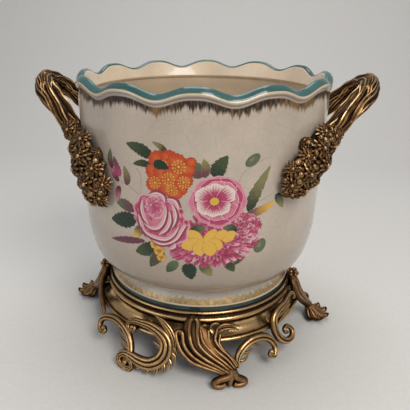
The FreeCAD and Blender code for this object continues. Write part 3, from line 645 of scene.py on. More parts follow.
# Paint tones
PINK = (0.44, 0.050, 0.135)
ROSE = (0.60, 0.19, 0.27)
PALE = (0.70, 0.40, 0.44)
WHITE = (0.74, 0.62, 0.56)
CRIMSON = (0.24, 0.020, 0.060)
ORANGE = (0.50, 0.058, 0.013)
SCARLET = (0.40, 0.035, 0.008)
APRICOT = (0.58, 0.125, 0.03)
YELLOW = (0.72, 0.42, 0.07)
OCHRE = (0.36, 0.17, 0.025)
GREEN = (0.012, 0.030, 0.016)
MOSS = (0.05, 0.075, 0.03)
OLIVE = (0.24, 0.21, 0.08)
SAGE = (0.10, 0.14, 0.07)
PLUM = (0.13, 0.04, 0.06)
STEM = (0.12, 0.10, 0.05)

# Radius at which arc lengths on the wall are measured, scale of the spray and the place that it is scaled
# about, step between layers of paint, and how deep their rims are let into the glaze, in millimetres
ARC_RADIUS = 118
PAINT_SCALE = 0.935
PAINT_MIDDLE = (35.4, 147.3)
PAINT_STEP = 0.0025
PAINT_SUNK = -0.1
# Height of the first layer in millimetres, and the seed of the random draws
PAINT_LIFT = 0.04
PAINT_SEED = 7
# Angle in radians between two places that follow each other in a spiral scatter
SPIRAL_STEP = 2.4
# Leaves: arc length and height of the points from root to tip, half width, and tones of root, tip and edge
LEAVES = (
    (((-31.0, 212.6), (-42, 219), (-55.8, 222.6)), 6.5, GREEN, MOSS, OLIVE),
    (((-17.5, 217.3), (-23, 223), (-31.3, 227.5)), 3.2, GREEN, OLIVE, OLIVE),
    (((-32.9, 205.4), (-41, 206.5), (-49.7, 204.8)), 3.8, GREEN, MOSS, OLIVE),
    (((23.5, 197.4), (26, 206), (33.3, 216.8)), 8.0, GREEN, MOSS, OLIVE),
    (((11.6, 197.4), (8, 204), (5.5, 212.0)), 7.5, PLUM, SAGE, OLIVE),
    (((14.0, 197.4), (15, 206), (13.0, 214.0)), 4.5, PLUM, OLIVE, OLIVE),
    (((54.1, 164.1), (59.6, 181), (72.0, 205.3)), 6.4, GREEN, OLIVE, MOSS),
    (((52.0, 161.6), (66, 164), (81.7, 170.5)), 4.8, PLUM, YELLOW, OLIVE),
    (((80.8, 177.3), (86, 171), (91.2, 162.1)), 5.0, GREEN, OLIVE, OLIVE),
    (((-48.9, 153.0), (-64, 148), (-81.2, 144.6)), 9.0, GREEN, GREEN, MOSS),
    (((-50.3, 160.1), (-62, 164), (-72.2, 164.2)), 6.5, PLUM, SAGE, OLIVE),
    (((-44.4, 146.5), (-48, 139), (-51.1, 131.6)), 5.0, MOSS, YELLOW, OLIVE),
    (((-40.6, 132.0), (-62, 128), (-83.3, 123.2)), 4.2, PLUM, PLUM, ROSE),
    (((-28.6, 130.2), (-40, 123), (-51.8, 118.2)), 8.0, GREEN, MOSS, OLIVE),
    (((-22.2, 124.7), (-30, 116), (-37.1, 104.9)), 6.5, PLUM, MOSS, OLIVE),
    (((-8.8, 115.6), (-15, 109), (-20.2, 102.1)), 5.5, SAGE, MOSS, OLIVE),
    (((1.0, 115.0), (2, 106), (4.2, 95.9)), 8.0, GREEN, GREEN, MOSS),
    (((11.8, 114.2), (18, 108), (22.9, 100.6)), 6.0, MOSS, OLIVE, OLIVE),
    (((33.5, 117.5), (43, 117), (54.7, 121.2)), 6.5, GREEN, MOSS, MOSS),
    (((33.5, 117.5), (40, 111), (44.7, 104.2)), 5.0, GREEN, MOSS, OLIVE),
    (((-67.0, 185.1), (-73, 192), (-78.7, 200.3)), 4.0, PLUM, ROSE, PLUM),
    (((-64.9, 190.3), (-68, 198), (-71.8, 208.2)), 4.2, PINK, PLUM, PLUM),
    (((-57.7, 183.4), (-57, 192), (-59.9, 201.4)), 4.2, PLUM, OLIVE, PLUM),
    (((-74.5, 195.9), (-77, 204), (-75.5, 214.7)), 4.4, PLUM, SAGE, PLUM),
    (((-66.0, 181.0), (-69, 174), (-70.1, 164.4)), 3.8, PLUM, ROSE, PLUM),
)
# Leaves in front of the orange heads and the chrysanthemums
NEAR_LEAVES = (
    (((-30.0, 205.9), (-24, 207), (-16.0, 204.3)), 5.2, GREEN, GREEN, MOSS),
    (((3.0, 146.0), (9, 150), (16.0, 150.5)), 4.5, GREEN, SAGE, MOSS),
    (((44.0, 146.0), (38, 150), (31.0, 150.5)), 4.5, GREEN, SAGE, MOSS),
)
# Stems: points and half width
STEMS = (
    (((43.4, 190.4), (47.8, 200.9), (56.9, 206.8), (65.3, 211.5), (76.3, 212.3)), 0.5),
    (((-47.2, 201.4), (-43.0, 195.1), (-43.1, 183.3), (-44.2, 174.3)), 0.5),
    (((-44.2, 176.5), (-53.5, 182.7), (-65.4, 186.4), (-72.9, 194.5)), 0.5),
    (((64.7, 172.9), (72, 176), (79.8, 179.2)), 0.5),
)
# Oval buds: place, half sizes and tilt in degrees
BUDS = (((54.9, 211.4), (7.4, 4.4), 38), ((68.2, 128.8), (7.4, 6.0), 62))
# Orange heads and the yellow stars on them: place and radius
ORANGE_HEADS = (
    (-25.3, 210.8, 9.5), (-16.1, 212.8, 8.5), (-9.6, 209.8, 9), (-1.1, 204.7, 7.5), (2.8, 211.0, 4.6),
    (-29.2, 200.3, 8.5), (-30.0, 188.4, 7.5), (-21.0, 198.9, 10), (-12.1, 197.3, 10), (-2.2, 194.5, 7),
    (-6.7, 187.1, 7), (-17.0, 187.5, 9.5), (-10.1, 182.4, 6),
)
YELLOW_STARS = (
    (-7.5, 206.5, 6.4), (-16.7, 194.5, 6.2), (-29.0, 190.2, 5.8), (-3.4, 193.0, 5.6), (-13.7, 185.0, 5.4),
    (-20.5, 207.5, 4.0),
)
# Yellow flower: root, middle and tip of each petal, and its half width; then the small buds beside it
YELLOW_PETALS = (
    ((30.5, 139.0), (36.0, 141.6), (43.0, 146.0), 5.4), ((22.0, 139.0), (28.0, 143.0), (35.0, 147.6), 4.6),
    ((14.7, 136.4), (20.0, 143.0), (25.2, 149.6), 4.4), ((13.4, 136.0), (7.0, 142.4), (0.2, 147.6), 5.4),
    ((14.0, 136.6), (4.0, 134.8), (-5.2, 131.4), 6.2), ((18.0, 137.0), (25.0, 134.6), (31.0, 130.4), 6.2),
    ((12.6, 137.4), (11.0, 130.6), (10.4, 123.8), 6.6), ((16.4, 137.6), (20.0, 130.4), (22.6, 123.6), 6.4),
)
YELLOW_BUDS = ((-30.0, 130.4, 4.8), (-26.4, 124.6, 5.0), (-24.4, 118.0, 4.4))
# Chrysanthemums: place and half sizes, and the shares of these at which their rings of petals end
CHRYSANTHEMUMS = (((22.0, 137.0), (46, 26.5)), ((46.0, 150.0), (22, 14)))
BLADE_RINGS = (1.0, 0.86, 0.72, 0.58, 0.44, 0.30)
# Tones of the tip and the edge of a chrysanthemum's petals, drawn by chance
BLADE_TINTS = ((PALE, WHITE), (PINK, CRIMSON), (PINK, PALE), (ROSE, PINK), (PINK, ROSE))
# Peony: place and radius; its skirts, as number of petals, shares of the radius for their reach and half
# width, tones and turn in degrees
PEONY_PLACE = (26.5, 175.5)
PEONY_RADIUS = 26.0
PEONY_SKIRTS = (
    (8, 1.0, 0.40, (CRIMSON, ROSE, PALE), 0), (7, 0.88, 0.38, (CRIMSON, PINK, PALE), 14),
    (7, 0.76, 0.34, (CRIMSON, ROSE, WHITE), 5))
# Inner petals of the peony: angle in degrees, length and half width
PEONY_PETALS = (
    (90, 15.5, 8.0), (152, 17, 7.6), (28, 18.5, 8.2), (-148, 15.5, 6.8), (-38, 15, 6.8), (-95, 13.5, 7.2))
# Rose: place of its bud, and the middle of its body from there; half sizes and tilt of the body, and half
# sizes of the part that is filled with petals
ROSE_PLACE = (-29.5, 167.4)
ROSE_BODY = (5, -12)
ROSE_HALF = (29, 21.5)
ROSE_TILT = -35
ROSE_FILL = (27, 22)
# Edges of the rose's petals, each run counterclockwise round its bud: arc length and height from the middle
# of the bud
ROSE_EDGES = (
    ((-17.0, -9.4), (-15.4, -16.9), (-12.9, -24.3), (-8.1, -31.4)),
    ((24.2, -7.1), (21.0, 4.1), (17.8, 8.5), (10.5, 9.4)),
    ((-5.7, -31.0), (2.4, -35.6), (11.3, -34.3), (19.4, -29.2), (24.2, -21.7), (28.3, -14.2),
     (31.5, -10.8)),
    ((12.9, -39.9), (17.8, -37.2), (19.4, -33.1)),
    ((-14.5, -19.7), (-9.7, -26.8), (-0.8, -30.2), (9.7, -30.7), (17.8, -24.6), (22.6, -15.1)),
    ((14.5, -20.2), (18.6, -11.8), (19.4, -3.9), (16.2, 5.3)),
    ((3.2, -26.8), (10.5, -20.8), (14.5, -11.4), (13.7, -1.8)),
    ((-12.1, 6.0), (-13.7, -3.0), (-11.3, -12.4), (-6.5, -18.5)),
    ((9.7, 4.4), (8.1, 10.9), (1.6, 13.4), (-5.7, 10.8)),
    ((-11.3, -17.3), (-5.7, -21.3), (2.4, -20.6), (8.1, -13.4), (10.5, -4.3), (10.1, 2.5)),
)


def spiral(count, pitch):
    """Even scatter from the middle outwards: angle in radians and distance of each place."""
    return [(SPIRAL_STEP * number, pitch * math.sqrt(number)) for number in range(count)]


def leaf_outline(share):
    return (2.5 * share ** 0.6 * (1 - share) ** 0.85 + 0.01) * (1.06 - 0.22 * ((6.5 * share) % 1))


def petal_outline(share):
    return 0.22 + 0.78 * np.sin(math.pi * 0.6 * share) ** 0.9


def blade_outline(share):
    return 0.35 + 0.65 * np.sin(math.pi * (0.15 + 0.78 * share))


def crescent_outline(share):
    return np.sin(math.pi * share) ** 0.55 + 0.03


def line_outline(share):
    return 1 - 0.7 * share


class Painting:
    """Thin enamel patches on the wall of the pot; places are arc length and height in millimetres."""

    def __init__(self, turn):
        self.turn = turn
        self.points = []
        self.faces = []
        self.strokes = []
        self.tints = []
        self.total = 0
        self.layer = PAINT_LIFT
        self.chance = np.random.default_rng(PAINT_SEED)

    def patch(self, places, rim, stroke, tints):
        """One patch over a grid of places; its rim is let into the glaze."""
        rows, columns = places.shape[:2]
        places = np.array(PAINT_MIDDLE) + PAINT_SCALE * (places - PAINT_MIDDLE)
        azimuth = np.degrees(places[..., 0] / ARC_RADIUS) + self.turn
        lift = np.where(rim, PAINT_SUNK, self.layer)
        self.points.append(wall_point(azimuth, places[..., 1], lift).reshape(-1, 3))
        index = np.arange(rows * columns).reshape(rows, columns) + self.total
        self.faces += np.stack(
            [index[:-1, :-1], index[:-1, 1:], index[1:, 1:], index[1:, :-1]], -1).reshape(-1, 4).tolist()
        self.strokes.append(np.stack(np.broadcast_arrays(*stroke), -1).reshape(-1, 3))
        self.tints.append(np.broadcast_to(np.asarray(tints), (rows * columns, 3, 3)))
        self.total += rows * columns

    def stroke(self, line, half_width, tints, outline, rows=14, columns=7, crosswise=False, ruffle=0.0,
               folds=5, step=PAINT_STEP, bias=1.0):
        """Petal or leaf along a line: its half width follows an outline function."""
        self.layer += step
        share = np.concatenate([[0], np.linspace(0.015, 0.985, rows - 2), [1]])
        across = np.concatenate([[-1], np.linspace(-0.97, 0.97, columns - 2), [1]])
        dense = smooth_line(line, 61)
        heading = unit(np.gradient(dense, axis=0))
        middle, along = (
            np.stack([np.interp(share * 60, np.arange(61), values[:, axis]) for axis in (0, 1)], -1)
            for values in (dense, heading))
        side = along[:, ::-1] * (1, -1)
        wide = half_width * outline(share)
        length = np.linalg.norm(np.diff(middle, axis=0), axis=1).sum()
        push = ruffle * np.cos(across * math.pi * folds / 2) - 0.16 * across ** 2 * (ruffle > 0)
        places = (middle[:, None] + side[:, None] * (wide[:, None] * across)[..., None]
                  + along[:, None] * (share[:, None] ** 2 * push * length)[..., None])
        rim = np.ones((rows, columns), bool)
        rim[1:-1, 1:-1] = False
        grade = (across[None] + 1) / 2 if crosswise else share[:, None] ** bias
        edge = np.maximum(np.abs(across)[None] ** 3, share[:, None] ** 6 if ruffle else 0)
        self.patch(places, rim, (grade + 0 * share[:, None], across[None], edge), tints)

    def leaf(self, line, half_width, root, tip, rim):
        """Pointed leaf with a midrib and side veins."""
        self.stroke(line, half_width, (root, tip, rim), leaf_outline, 44, 11)
        self.stroke(line, 0.35, (OLIVE, OLIVE, OLIVE), line_outline, 12, 3)
        points = smooth_line(line, 9)
        along = unit(np.gradient(points, axis=0))
        for spot in (1, 2, 3, 4, 5):
            for hand in (-1, 1):
                side = along[spot][::-1] * (1, -1) * hand
                reach = half_width * 0.8 * leaf_outline(spot / 8)
                end = points[spot] + side * reach + along[spot] * reach * 0.9
                vein = (points[spot], (points[spot] + end) / 2, end)
                self.stroke(vein, 0.22, (rim, rim, rim), line_outline, 6, 3, step=0)

    def petal(self, place, angle, length, half_width, tints, ruffle=0.07, folds=5, start=0.0,
              step=PAINT_STEP, bias=1.0):
        """Rounded petal that leaves a place at an angle in degrees."""
        heading = np.array([math.cos(math.radians(angle)), math.sin(math.radians(angle))])
        line = [np.asarray(place) + heading * (start + length * share) for share in (0, 0.5, 1)]
        self.stroke(line, half_width, tints, petal_outline, 16, 17, False, ruffle, folds, step, bias)

    def disc(self, place, half_sizes, tilt, tints, waves=0, depth=0.0, columns=36, rows=8):
        """Round or oval patch, shaded from its middle out."""
        self.layer += PAINT_STEP
        turn = np.linspace(2 * math.pi, 0, columns)
        share = np.append(np.linspace(0, 0.985, rows - 1), 1)
        reach = 1 + depth * np.cos(waves * turn)
        lean = math.radians(tilt)
        x = np.outer(share, half_sizes[0] * reach * np.cos(turn))
        y = np.outer(share, half_sizes[1] * reach * np.sin(turn))
        places = np.stack([
            x * math.cos(lean) - y * math.sin(lean), x * math.sin(lean) + y * math.cos(lean)], -1)
        rim = np.zeros((rows, columns), bool)
        rim[-1] = True
        stroke = (share[:, None], turn[None] / 6, share[:, None] ** 4)
        self.patch(places + np.asarray(place), rim, stroke, tints)

    def chrysanthemum(self, place, half_sizes):
        """Head of narrow petals in rings, longest at the outside."""
        place = np.asarray(place)
        for share in BLADE_RINGS:
            count = 2 * (int(26 * share) + 6)
            self.layer += 2 * PAINT_STEP
            for number in range(count):
                angle = 2 * math.pi * (number + self.chance.uniform(-0.3, 0.3)) / count
                reach = share * self.chance.uniform(0.9, 1.06)
                end = place + (
                    half_sizes[0] * reach * math.cos(angle), half_sizes[1] * reach * math.sin(angle))
                root = place + (end - place) * (1 - 0.26 / share ** 0.5)
                bend = self.chance.uniform(-1.0, 1.0, 2)
                tip, rim = BLADE_TINTS[self.chance.integers(len(BLADE_TINTS))]
                blade = (root, (root + end) / 2 + bend, end)
                self.stroke(blade, 1.7, (CRIMSON, tip, rim), blade_outline, 9, 5,
                            step=PAINT_STEP * (-1) ** number)

    def peony(self, place, radius):
        """Open flower: broad pink skirts, white-edged inner petals and a yellow heart."""
        for count, share, wide, tints, turn in PEONY_SKIRTS:
            for number in range(count):
                angle = 360 * number / count + turn + self.chance.uniform(-6, 6)
                reach = radius * share * self.chance.uniform(0.92, 1.05)
                self.petal(place, angle, 0.72 * reach, radius * wide, tints, 0.03, 3, 0.24 * reach)
        heart = (place[0] - 3.5, place[1] + 0.6)
        self.disc(heart, (16.5, 15.0), 0, (CRIMSON, PINK, ROSE), 9, 0.06, 54)
        for angle, length, half_width in PEONY_PETALS:
            self.petal(heart, angle, length, half_width, (PINK, WHITE, WHITE), 0.03, 3, 1.0, bias=1.7)
            self.petal(heart, angle, 0.55 * length, 0.6 * half_width, (CRIMSON, PINK, PINK), 0.14, 9, 0.6)
        self.disc(heart, (5.4, 5.0), 0, (CRIMSON, CRIMSON, PINK), 9, 0.12)
        self.disc(heart, (4.2, 3.9), 0, (YELLOW, YELLOW, OCHRE), 11, 0.10)
        for angle, reach in spiral(11, 0.95):
            self.disc((heart[0] + reach * math.cos(angle), heart[1] + reach * math.sin(angle)), (0.8, 0.8), 0,
                      (YELLOW, YELLOW, OCHRE), columns=10, rows=4)

    def fold(self, line, half_width):
        """Edge of a petal: pale on its inner side, a white line, and a deep shade behind it."""
        self.stroke(line, half_width, (PALE, CRIMSON, PINK), crescent_outline, 22, 9, True)
        self.stroke(line, 0.22 * half_width, (WHITE, WHITE, PALE), crescent_outline, 22, 5)

    def rose(self, place):
        """Full rose: folded petals wound round a bud."""
        place = np.asarray(place)
        body = place + ROSE_BODY
        self.disc(body, ROSE_HALF, ROSE_TILT, (ROSE, PINK, PALE), 9, 0.04, 66)
        for angle, reach in spiral(26, 4.2):
            middle = body + (reach * math.cos(angle), reach * math.sin(angle))
            if np.hypot(*(middle - body) / ROSE_FILL) < 0.85:
                self.petal(middle, math.degrees(angle) - 70, 9, 3.0, (PINK, ROSE, PALE), 0.08)
        for line in ROSE_EDGES:
            self.fold(place + np.array(line), 3.0)
        self.disc(place, (8.6, 11.0), 12, (PINK, ROSE, WHITE), 5, 0.03)
        for number, (angle, reach) in enumerate(spiral(18, 1.75)):
            spot = place + (reach * math.cos(angle), 1.25 * reach * math.sin(angle))
            tints = (CRIMSON, PALE, WHITE) if number % 2 else (PINK, ROSE, PALE)
            self.petal(spot, math.degrees(angle) + 40, 3.4, 1.2, tints, 0.05, 3)
        for spot in ((24.0, -1.5), (28.5, -11.5)):
            self.disc(place + spot, (2.6, 3.4), 20, (CRIMSON, ROSE, WHITE))

    def star(self, place, radius):
        """Small yellow blossom of loose petals on an orange head."""
        for ring, count in ((1.0, 11), (0.6, 7)):
            self.layer += PAINT_STEP
            for number in range(count):
                self.petal(place, 360 * number / count, radius * ring * 0.42, radius * 0.13,
                           (OCHRE, YELLOW, YELLOW), 0.05, 3, radius * ring * 0.55, 0)
        self.disc(place, (radius * 0.2, radius * 0.2), 0, (YELLOW, YELLOW, OCHRE), columns=12, rows=4)

    def bouquet(self):
        """The whole spray, far strokes first."""
        for line, half_width in STEMS:
            self.stroke(line, half_width, (STEM, STEM, STEM), line_outline, 40, 3)
        for row in LEAVES:
            self.leaf(*row)
        for place, half_sizes, tilt in BUDS:
            self.disc(place, half_sizes, tilt, (SAGE, SAGE, GREEN))
            self.disc((place[0] - 0.8, place[1] + 0.7), [0.55 * part for part in half_sizes], tilt,
                      (OLIVE, SAGE, SAGE))
        for x, z, radius in ORANGE_HEADS:
            self.disc((x, z), (radius, radius * 0.94), 0, (APRICOT, ORANGE, SCARLET), 13, 0.06, 66)
        for x, z, radius in YELLOW_STARS:
            self.star((x, z), radius)
        for place, half_sizes in CHRYSANTHEMUMS:
            self.chrysanthemum(place, half_sizes)
        for row in NEAR_LEAVES:
            self.leaf(*row)
        for root, middle, tip, half_width in YELLOW_PETALS:
            self.stroke((root, middle, tip), half_width, (YELLOW, YELLOW, OCHRE), crescent_outline, 22, 13)
        for x, z, radius in YELLOW_BUDS:
            self.disc((x, z), (radius * 1.1, radius * 0.86), 20, (OCHRE, YELLOW, OCHRE), 5, 0.08)
        self.rose(ROSE_PLACE)
        self.peony(PEONY_PLACE, PEONY_RADIUS)

    def piece(self, name, material):
        mesh = bpy.data.meshes.new(name)
        points = np.vstack(self.points)
        mesh.from_pydata((points * MM).tolist(), [], self.faces)
        stroke = mesh.attributes.new("stroke", "FLOAT_VECTOR", "POINT")
        stroke.data.foreach_set("vector", np.vstack(self.strokes).astype(np.float32).ravel())
        tints = np.concatenate(self.tints)
        for column, tint in enumerate(("root_tint", "tip_tint", "edge_tint")):
            layer = mesh.attributes.new(tint, "FLOAT_COLOR", "POINT")
            colour = np.concatenate([tints[:, column], np.ones((len(tints), 1))], 1)
            layer.data.foreach_set("color", colour.astype(np.float32).ravel())
        mesh.polygons.foreach_set("use_smooth", [True] * len(mesh.polygons))
        mesh.normals_split_custom_set_from_vertices(unit(points * (1, 1, 0)).tolist())
        mesh.materials.append(material)
        return settle(bpy.data.objects.new(name, mesh), [])


# Azimuth in degrees from which each bouquet's arc lengths run
BOUQUETS = (("front_bouquet", -3), ("back_bouquet", 177))


class PLANTER_OT_painting(bpy.types.Operator):
    """Painted bouquet on the front of the pot and again on its back"""
    bl_idname = "planter.painting"
    bl_label = "Painting"

    def execute(self, context):
        enamel = enamel_finish()
        for name, turn in BOUQUETS:
            painting = Painting(turn)
            painting.bouquet()
            painting.piece(name, enamel)
        return {"FINISHED"}


# Base

# Height and radius of the surfaces that the base's castings lie on
LEG_SLOPE = ((0, 136), (9, 132), (18, 127), (26, 120), (34, 113), (38, 110), (43, 107), (52, 104), (60, 103))
SCROLL_SLOPE = (
    (0, 132), (8, 130), (14, 126), (20, 121), (26, 117.5), (33, 113), (38, 110.5), (43, 108.5), (54, 103),
    (60, 102))


def on_slope(slope, places, lift=0):
    """Points from azimuth and height on one of the base's surfaces."""
    places = np.asarray(places, float)
    slope = np.asarray(slope, float)
    radius = np.interp(places[:, 1], slope[:, 0], slope[:, 1]) + lift
    return polar(places[:, 0], radius, places[:, 1])


# Sections of the collar and the apron: radius, height and relief
COLLAR_OUTLINE = (
    (83.5, 43, 0.1), (83.5, 51.5, 0.1), (95.7, 51.5, 0.0), (95.7, 54.6, 0.2), (96.1, 55.3, 0.8),
    (97.0, 55.7, 1.0), (97.9, 55.5, 1.0), (98.5, 54.8, 0.8), (98.5, 53.9, 0.4), (98.0, 53.2, 0.1),
    (97.3, 52.8, 0.0), (97.1, 51.6, 0.0), (97.3, 50.6, 0.0), (98.2, 50.2, 0.15), (99.3, 49.9, 0.6),
    (100.3, 49.2, 1.0), (100.8, 48.1, 1.0), (100.6, 47.0, 0.9), (99.9, 46.1, 0.5), (98.9, 45.6, 0.1),
    (98.5, 44.8, 0.05), (98.5, 43, 0.1),
)
APRON_OUTLINE = (
    (98.5, 43, 0.1), (98.8, 41.8, 0.7), (99.3, 40.0, 0.95), (100.2, 38.0, 1.0), (101.8, 36.0, 1.0),
    (104.2, 34.4, 0.8), (106.2, 33.6, 0.2), (106.9, 33.2, 0.0), (107.5, 33.5, 0.4), (108.6, 33.3, 1.0),
    (109.5, 32.5, 1.0), (109.7, 31.5, 0.9), (109.3, 30.6, 0.6), (108.4, 30.0, 0.3), (106.5, 30.0, 0.1),
    (101.5, 35.2, 0.1), (99.6, 38.0, 0.1), (94.0, 41.0, 0.1), (93.5, 43, 0.1),
)
# Ribs of the front leg: azimuth and height down each, its half width, and how far it stands out
SHELL_RIBS = (
    (((-6.0, 41.6), (-7.4, 38.9), (-6.0, 32.3), (-3.5, 26.4), (0.5, 20.9), (5.5, 17.6), (10.3, 14.3),
      (13.6, 11.6)), 2.5, 0.0),
    (((-6.6, 41.8), (-4.3, 40.2), (-3.0, 32.1), (0.1, 26.0), (4.6, 21.2), (10.1, 16.8), (14.2, 12.8)),
     2.5, 0.8),
    (((0.6, 55.0), (-0.8, 50.7), (-0.8, 40.5), (1.2, 30.9), (5.9, 24.3), (11.5, 18.6), (15.6, 13.3)),
     2.6, 2.2),
    (((1.5, 55.0), (3.0, 51.0), (2.9, 41.5), (4.1, 32.7), (8.1, 26.2), (13.1, 19.9), (16.5, 14.0)),
     2.6, 2.2),
    (((4.2, 43.9), (5.7, 34.6), (10.0, 27.0), (14.4, 20.6), (17.4, 14.9)), 2.3, 1.6),
    (((8.3, 43.2), (8.5, 34.6), (11.7, 28.1), (15.6, 22.3), (18.3, 15.5)), 2.2, 1.0),
    (((12.6, 43.4), (11.3, 35.5), (13.3, 29.7), (16.8, 23.7), (19.1, 16.3)), 2.2, 0.4),
    (((13.9, 39.0), (13.1, 32.4), (15.5, 26.8), (18.6, 20.5), (20.0, 15.4)), 1.9, 0.0),
)
# Back of the front leg with its half width and thickness, and the curls of its foot
SHELL_BACK = (
    (0.6, 54), (0.4, 46), (2.2, 36), (5.0, 28), (10.0, 20.5), (15.0, 13.5), (16.0, 6.0), (16.0, 2.4))
SHELL_BACK_WIDE = (2.5, 9, 15, 14, 10, 6.5, 5.5, 5.0)
SHELL_BACK_THICK = (3, 4, 4.5, 4.5, 4.5, 4.5, 4, 2.4)
SHELL_CURLS = (
    ((17.0, 14.5), (15.6, 10.4), (12.2, 8.6), (9.9, 6.4), (10.1, 3.9), (12.2, 2.9), (13.8, 4.2)),
    ((17.4, 14.5), (18.4, 9.4), (20.6, 6.6), (21.8, 4.6), (20.9, 3.0), (18.6, 2.8), (17.4, 4.2)),
    ((16.4, 15.0), (16.6, 10.0), (15.9, 6.0), (15.6, 2.9)),
)
# Tendrils that lie on the apron beside the front leg
SPRIGS = (
    ((11.4, 41.2), (15.2, 45.6), (19.5, 45.6), (24.6, 42.6)),
    ((11.4, 38.6), (15.8, 41.9), (20.1, 41.9), (24.0, 39.8)),
    ((9.0, 43.0), (10.4, 46.8), (13.0, 47.6), (14.2, 45.6)),
    ((4.8, 43.6), (5.6, 46.2), (7.4, 46.0), (7.4, 44.0)),
)
# Standing scroll from its upper volute to its lower one, with its half width; then its volutes, as place,
# radius and radius of the boss, and how far their sections lie from the surface, below it where negative; its
# pad; its plume with half width and thickness; and the leaf tips of its fringe
C_SCROLL = (
    (-30.9, 34.0), (-29.6, 35.4), (-29.0, 33.2), (-30.6, 31.2), (-33.0, 32.6), (-33.5, 36.6),
    (-30.6, 40.2), (-26.3, 41.0), (-20.6, 40.9), (-15.1, 37.3), (-11.6, 31.2), (-11.1, 23.4),
    (-13.1, 16.8), (-17.2, 12.6), (-22.0, 12.4), (-26.3, 13.8), (-30.0, 13.6), (-32.0, 9.6), (-31.0, 4.6),
    (-27.6, 2.6), (-25.2, 5.4), (-26.2, 9.6), (-28.8, 9.8), (-29.2, 6.8), (-27.8, 6.2),
)
C_SCROLL_WIDE = (
    0.9, 1.3, 1.7, 2.0, 2.4, 2.7, 3.0, 3.6, 4.6, 5.8, 6.6, 7.0, 6.8, 6.4, 5.8, 4.8, 3.8, 3.2, 2.9, 2.6,
    2.3, 2.0, 1.6, 1.2, 0.9)
VOLUTES = (((-30.9, 34.4), 4.6, 2.1), ((-28.3, 7.4), 6.6, 2.6))
VOLUTE_LIFTS = (-5.0, -2.5, -0.6)
PAD = ((-31.4, 1.9), (-28.2, 1.7), (-25.2, 1.9))
PLUME = ((-7.8, 23.5), (-8.0, 32.0), (-10.2, 40.0), (-14.2, 46.6), (-19.4, 50.8))
PLUME_WIDE = (1.8, 3.6, 4.0, 3.2, 0.5)
PLUME_THICK = (1.6, 2.8, 3.0, 2.4, 0.6)
C_SPURS = (
    ((-11.6, 21.0), (-14.2, 26.4), (-18.2, 29.4)), ((-12.2, 26.0), (-14.2, 30.2), (-17.0, 32.4)),
    ((-9.6, 28.6), (-7.2, 26.2), (-5.9, 22.2)), ((-9.2, 24.0), (-6.9, 21.0), (-6.3, 16.6)),
    ((-9.8, 19.4), (-8.2, 15.6), (-7.9, 11.6)), ((-11.4, 15.4), (-10.6, 11.2), (-11.0, 7.4)),
    ((-14.0, 12.4), (-13.8, 8.4), (-14.8, 5.0)), ((-17.4, 10.6), (-17.8, 7.0), (-19.2, 4.4)),
    ((-21.4, 10.4), (-22.0, 7.6), (-23.2, 6.2)), ((-10.4, 36.0), (-7.6, 38.6), (-6.6, 43.0)),
)
# Arches: factor on their half width and radius of their knob; then for each its line from the foot to the
# curled tip, half width, place of the knob in the curl, and leaf tips
ARCH_SWELL = 1.12
KNOB_RADIUS = 3.3
LEFT_ARCH = (
    (-26.6, 12.1), (-27.8, 18.6), (-29.8, 24.6), (-33.3, 29.9), (-40.3, 33.3), (-47.7, 30.6),
    (-51.7, 24.8), (-50.9, 18.6), (-47.6, 16.6), (-46.0, 19.4), (-47.6, 21.2),
)
LEFT_ARCH_WIDE = (3.2, 3.2, 3.3, 3.4, 3.4, 3.2, 2.9, 2.5, 2.1, 1.6, 1.0)
LEFT_KNOB = (-48.2, 19.4)
LEFT_SPURS = (
    ((-28.7, 18.1), (-33.0, 20.0), (-37.2, 23.4)), ((-28.1, 14.5), (-31.0, 15.6), (-34.9, 18.6)),
    ((-36.5, 31.4), (-40.0, 29.0), (-42.0, 25.2)), ((-31.6, 25.6), (-35.4, 26.2), (-38.6, 28.6)),
)
RIGHT_ARCH = (
    (19.6, 13.2), (21.0, 20.6), (23.9, 26.6), (28.7, 30.7), (34.3, 31.0), (38.6, 27.0), (40.3, 19.9),
    (38.4, 14.3), (36.2, 15.6), (36.8, 18.2),
)
RIGHT_ARCH_WIDE = (1.8, 2.8, 3.4, 3.6, 3.6, 3.3, 2.9, 2.4, 1.8, 1.0)
RIGHT_KNOB = (37.6, 16.6)
RIGHT_SPURS = (
    ((21.6, 17.0), (23.8, 17.2), (26.4, 20.2)), ((23.3, 22.6), (26.0, 21.8), (29.0, 24.0)),
    ((27.2, 27.6), (30.2, 26.2), (33.2, 23.2)),
)
# Hanging scroll from its upper curl to its lower one, with its half width and the leaves in its bow
HANGING_SCROLL = (
    (65.0, 45.6), (66.9, 44.0), (67.4, 47.6), (64.6, 50.2), (60.4, 49.6), (55.4, 47.6), (48.8, 46.0),
    (44.3, 40.4), (43.3, 31.8), (44.1, 25.0), (47.4, 19.6), (51.8, 19.2), (54.0, 23.8), (52.2, 28.8),
    (49.2, 28.2), (49.4, 24.8), (51.0, 24.6),
)
HANGING_WIDE = (1.0, 1.5, 1.9, 2.4, 2.8, 3.2, 4.0, 4.3, 4.3, 4.0, 3.5, 3.0, 2.6, 2.2, 1.8, 1.4, 1.0)
HANGING_LEAVES = (
    ((62.6, 43.4), (56.0, 42.6), (49.4, 41.6)), ((62.0, 40.4), (55.4, 39.4), (48.4, 37.6)),
    ((60.0, 37.0), (54.4, 35.8), (48.2, 33.4)), ((45.0, 37.0), (42.0, 39.8), (40.6, 43.6)),
)
# Side leg down its middle: radius, share of its sweep, height, and half spread of its ribs
SIDE_LEG = (
    (101.0, 0.0, 58.5, 3.0), (104.0, 0.0, 51.0, 8.0), (108.0, 0.05, 40.0, 9.0), (113.4, 0.3, 29.0, 6.6),
    (119.0, 0.68, 19.0, 4.4), (123.6, 1.0, 12.0, 4.0))
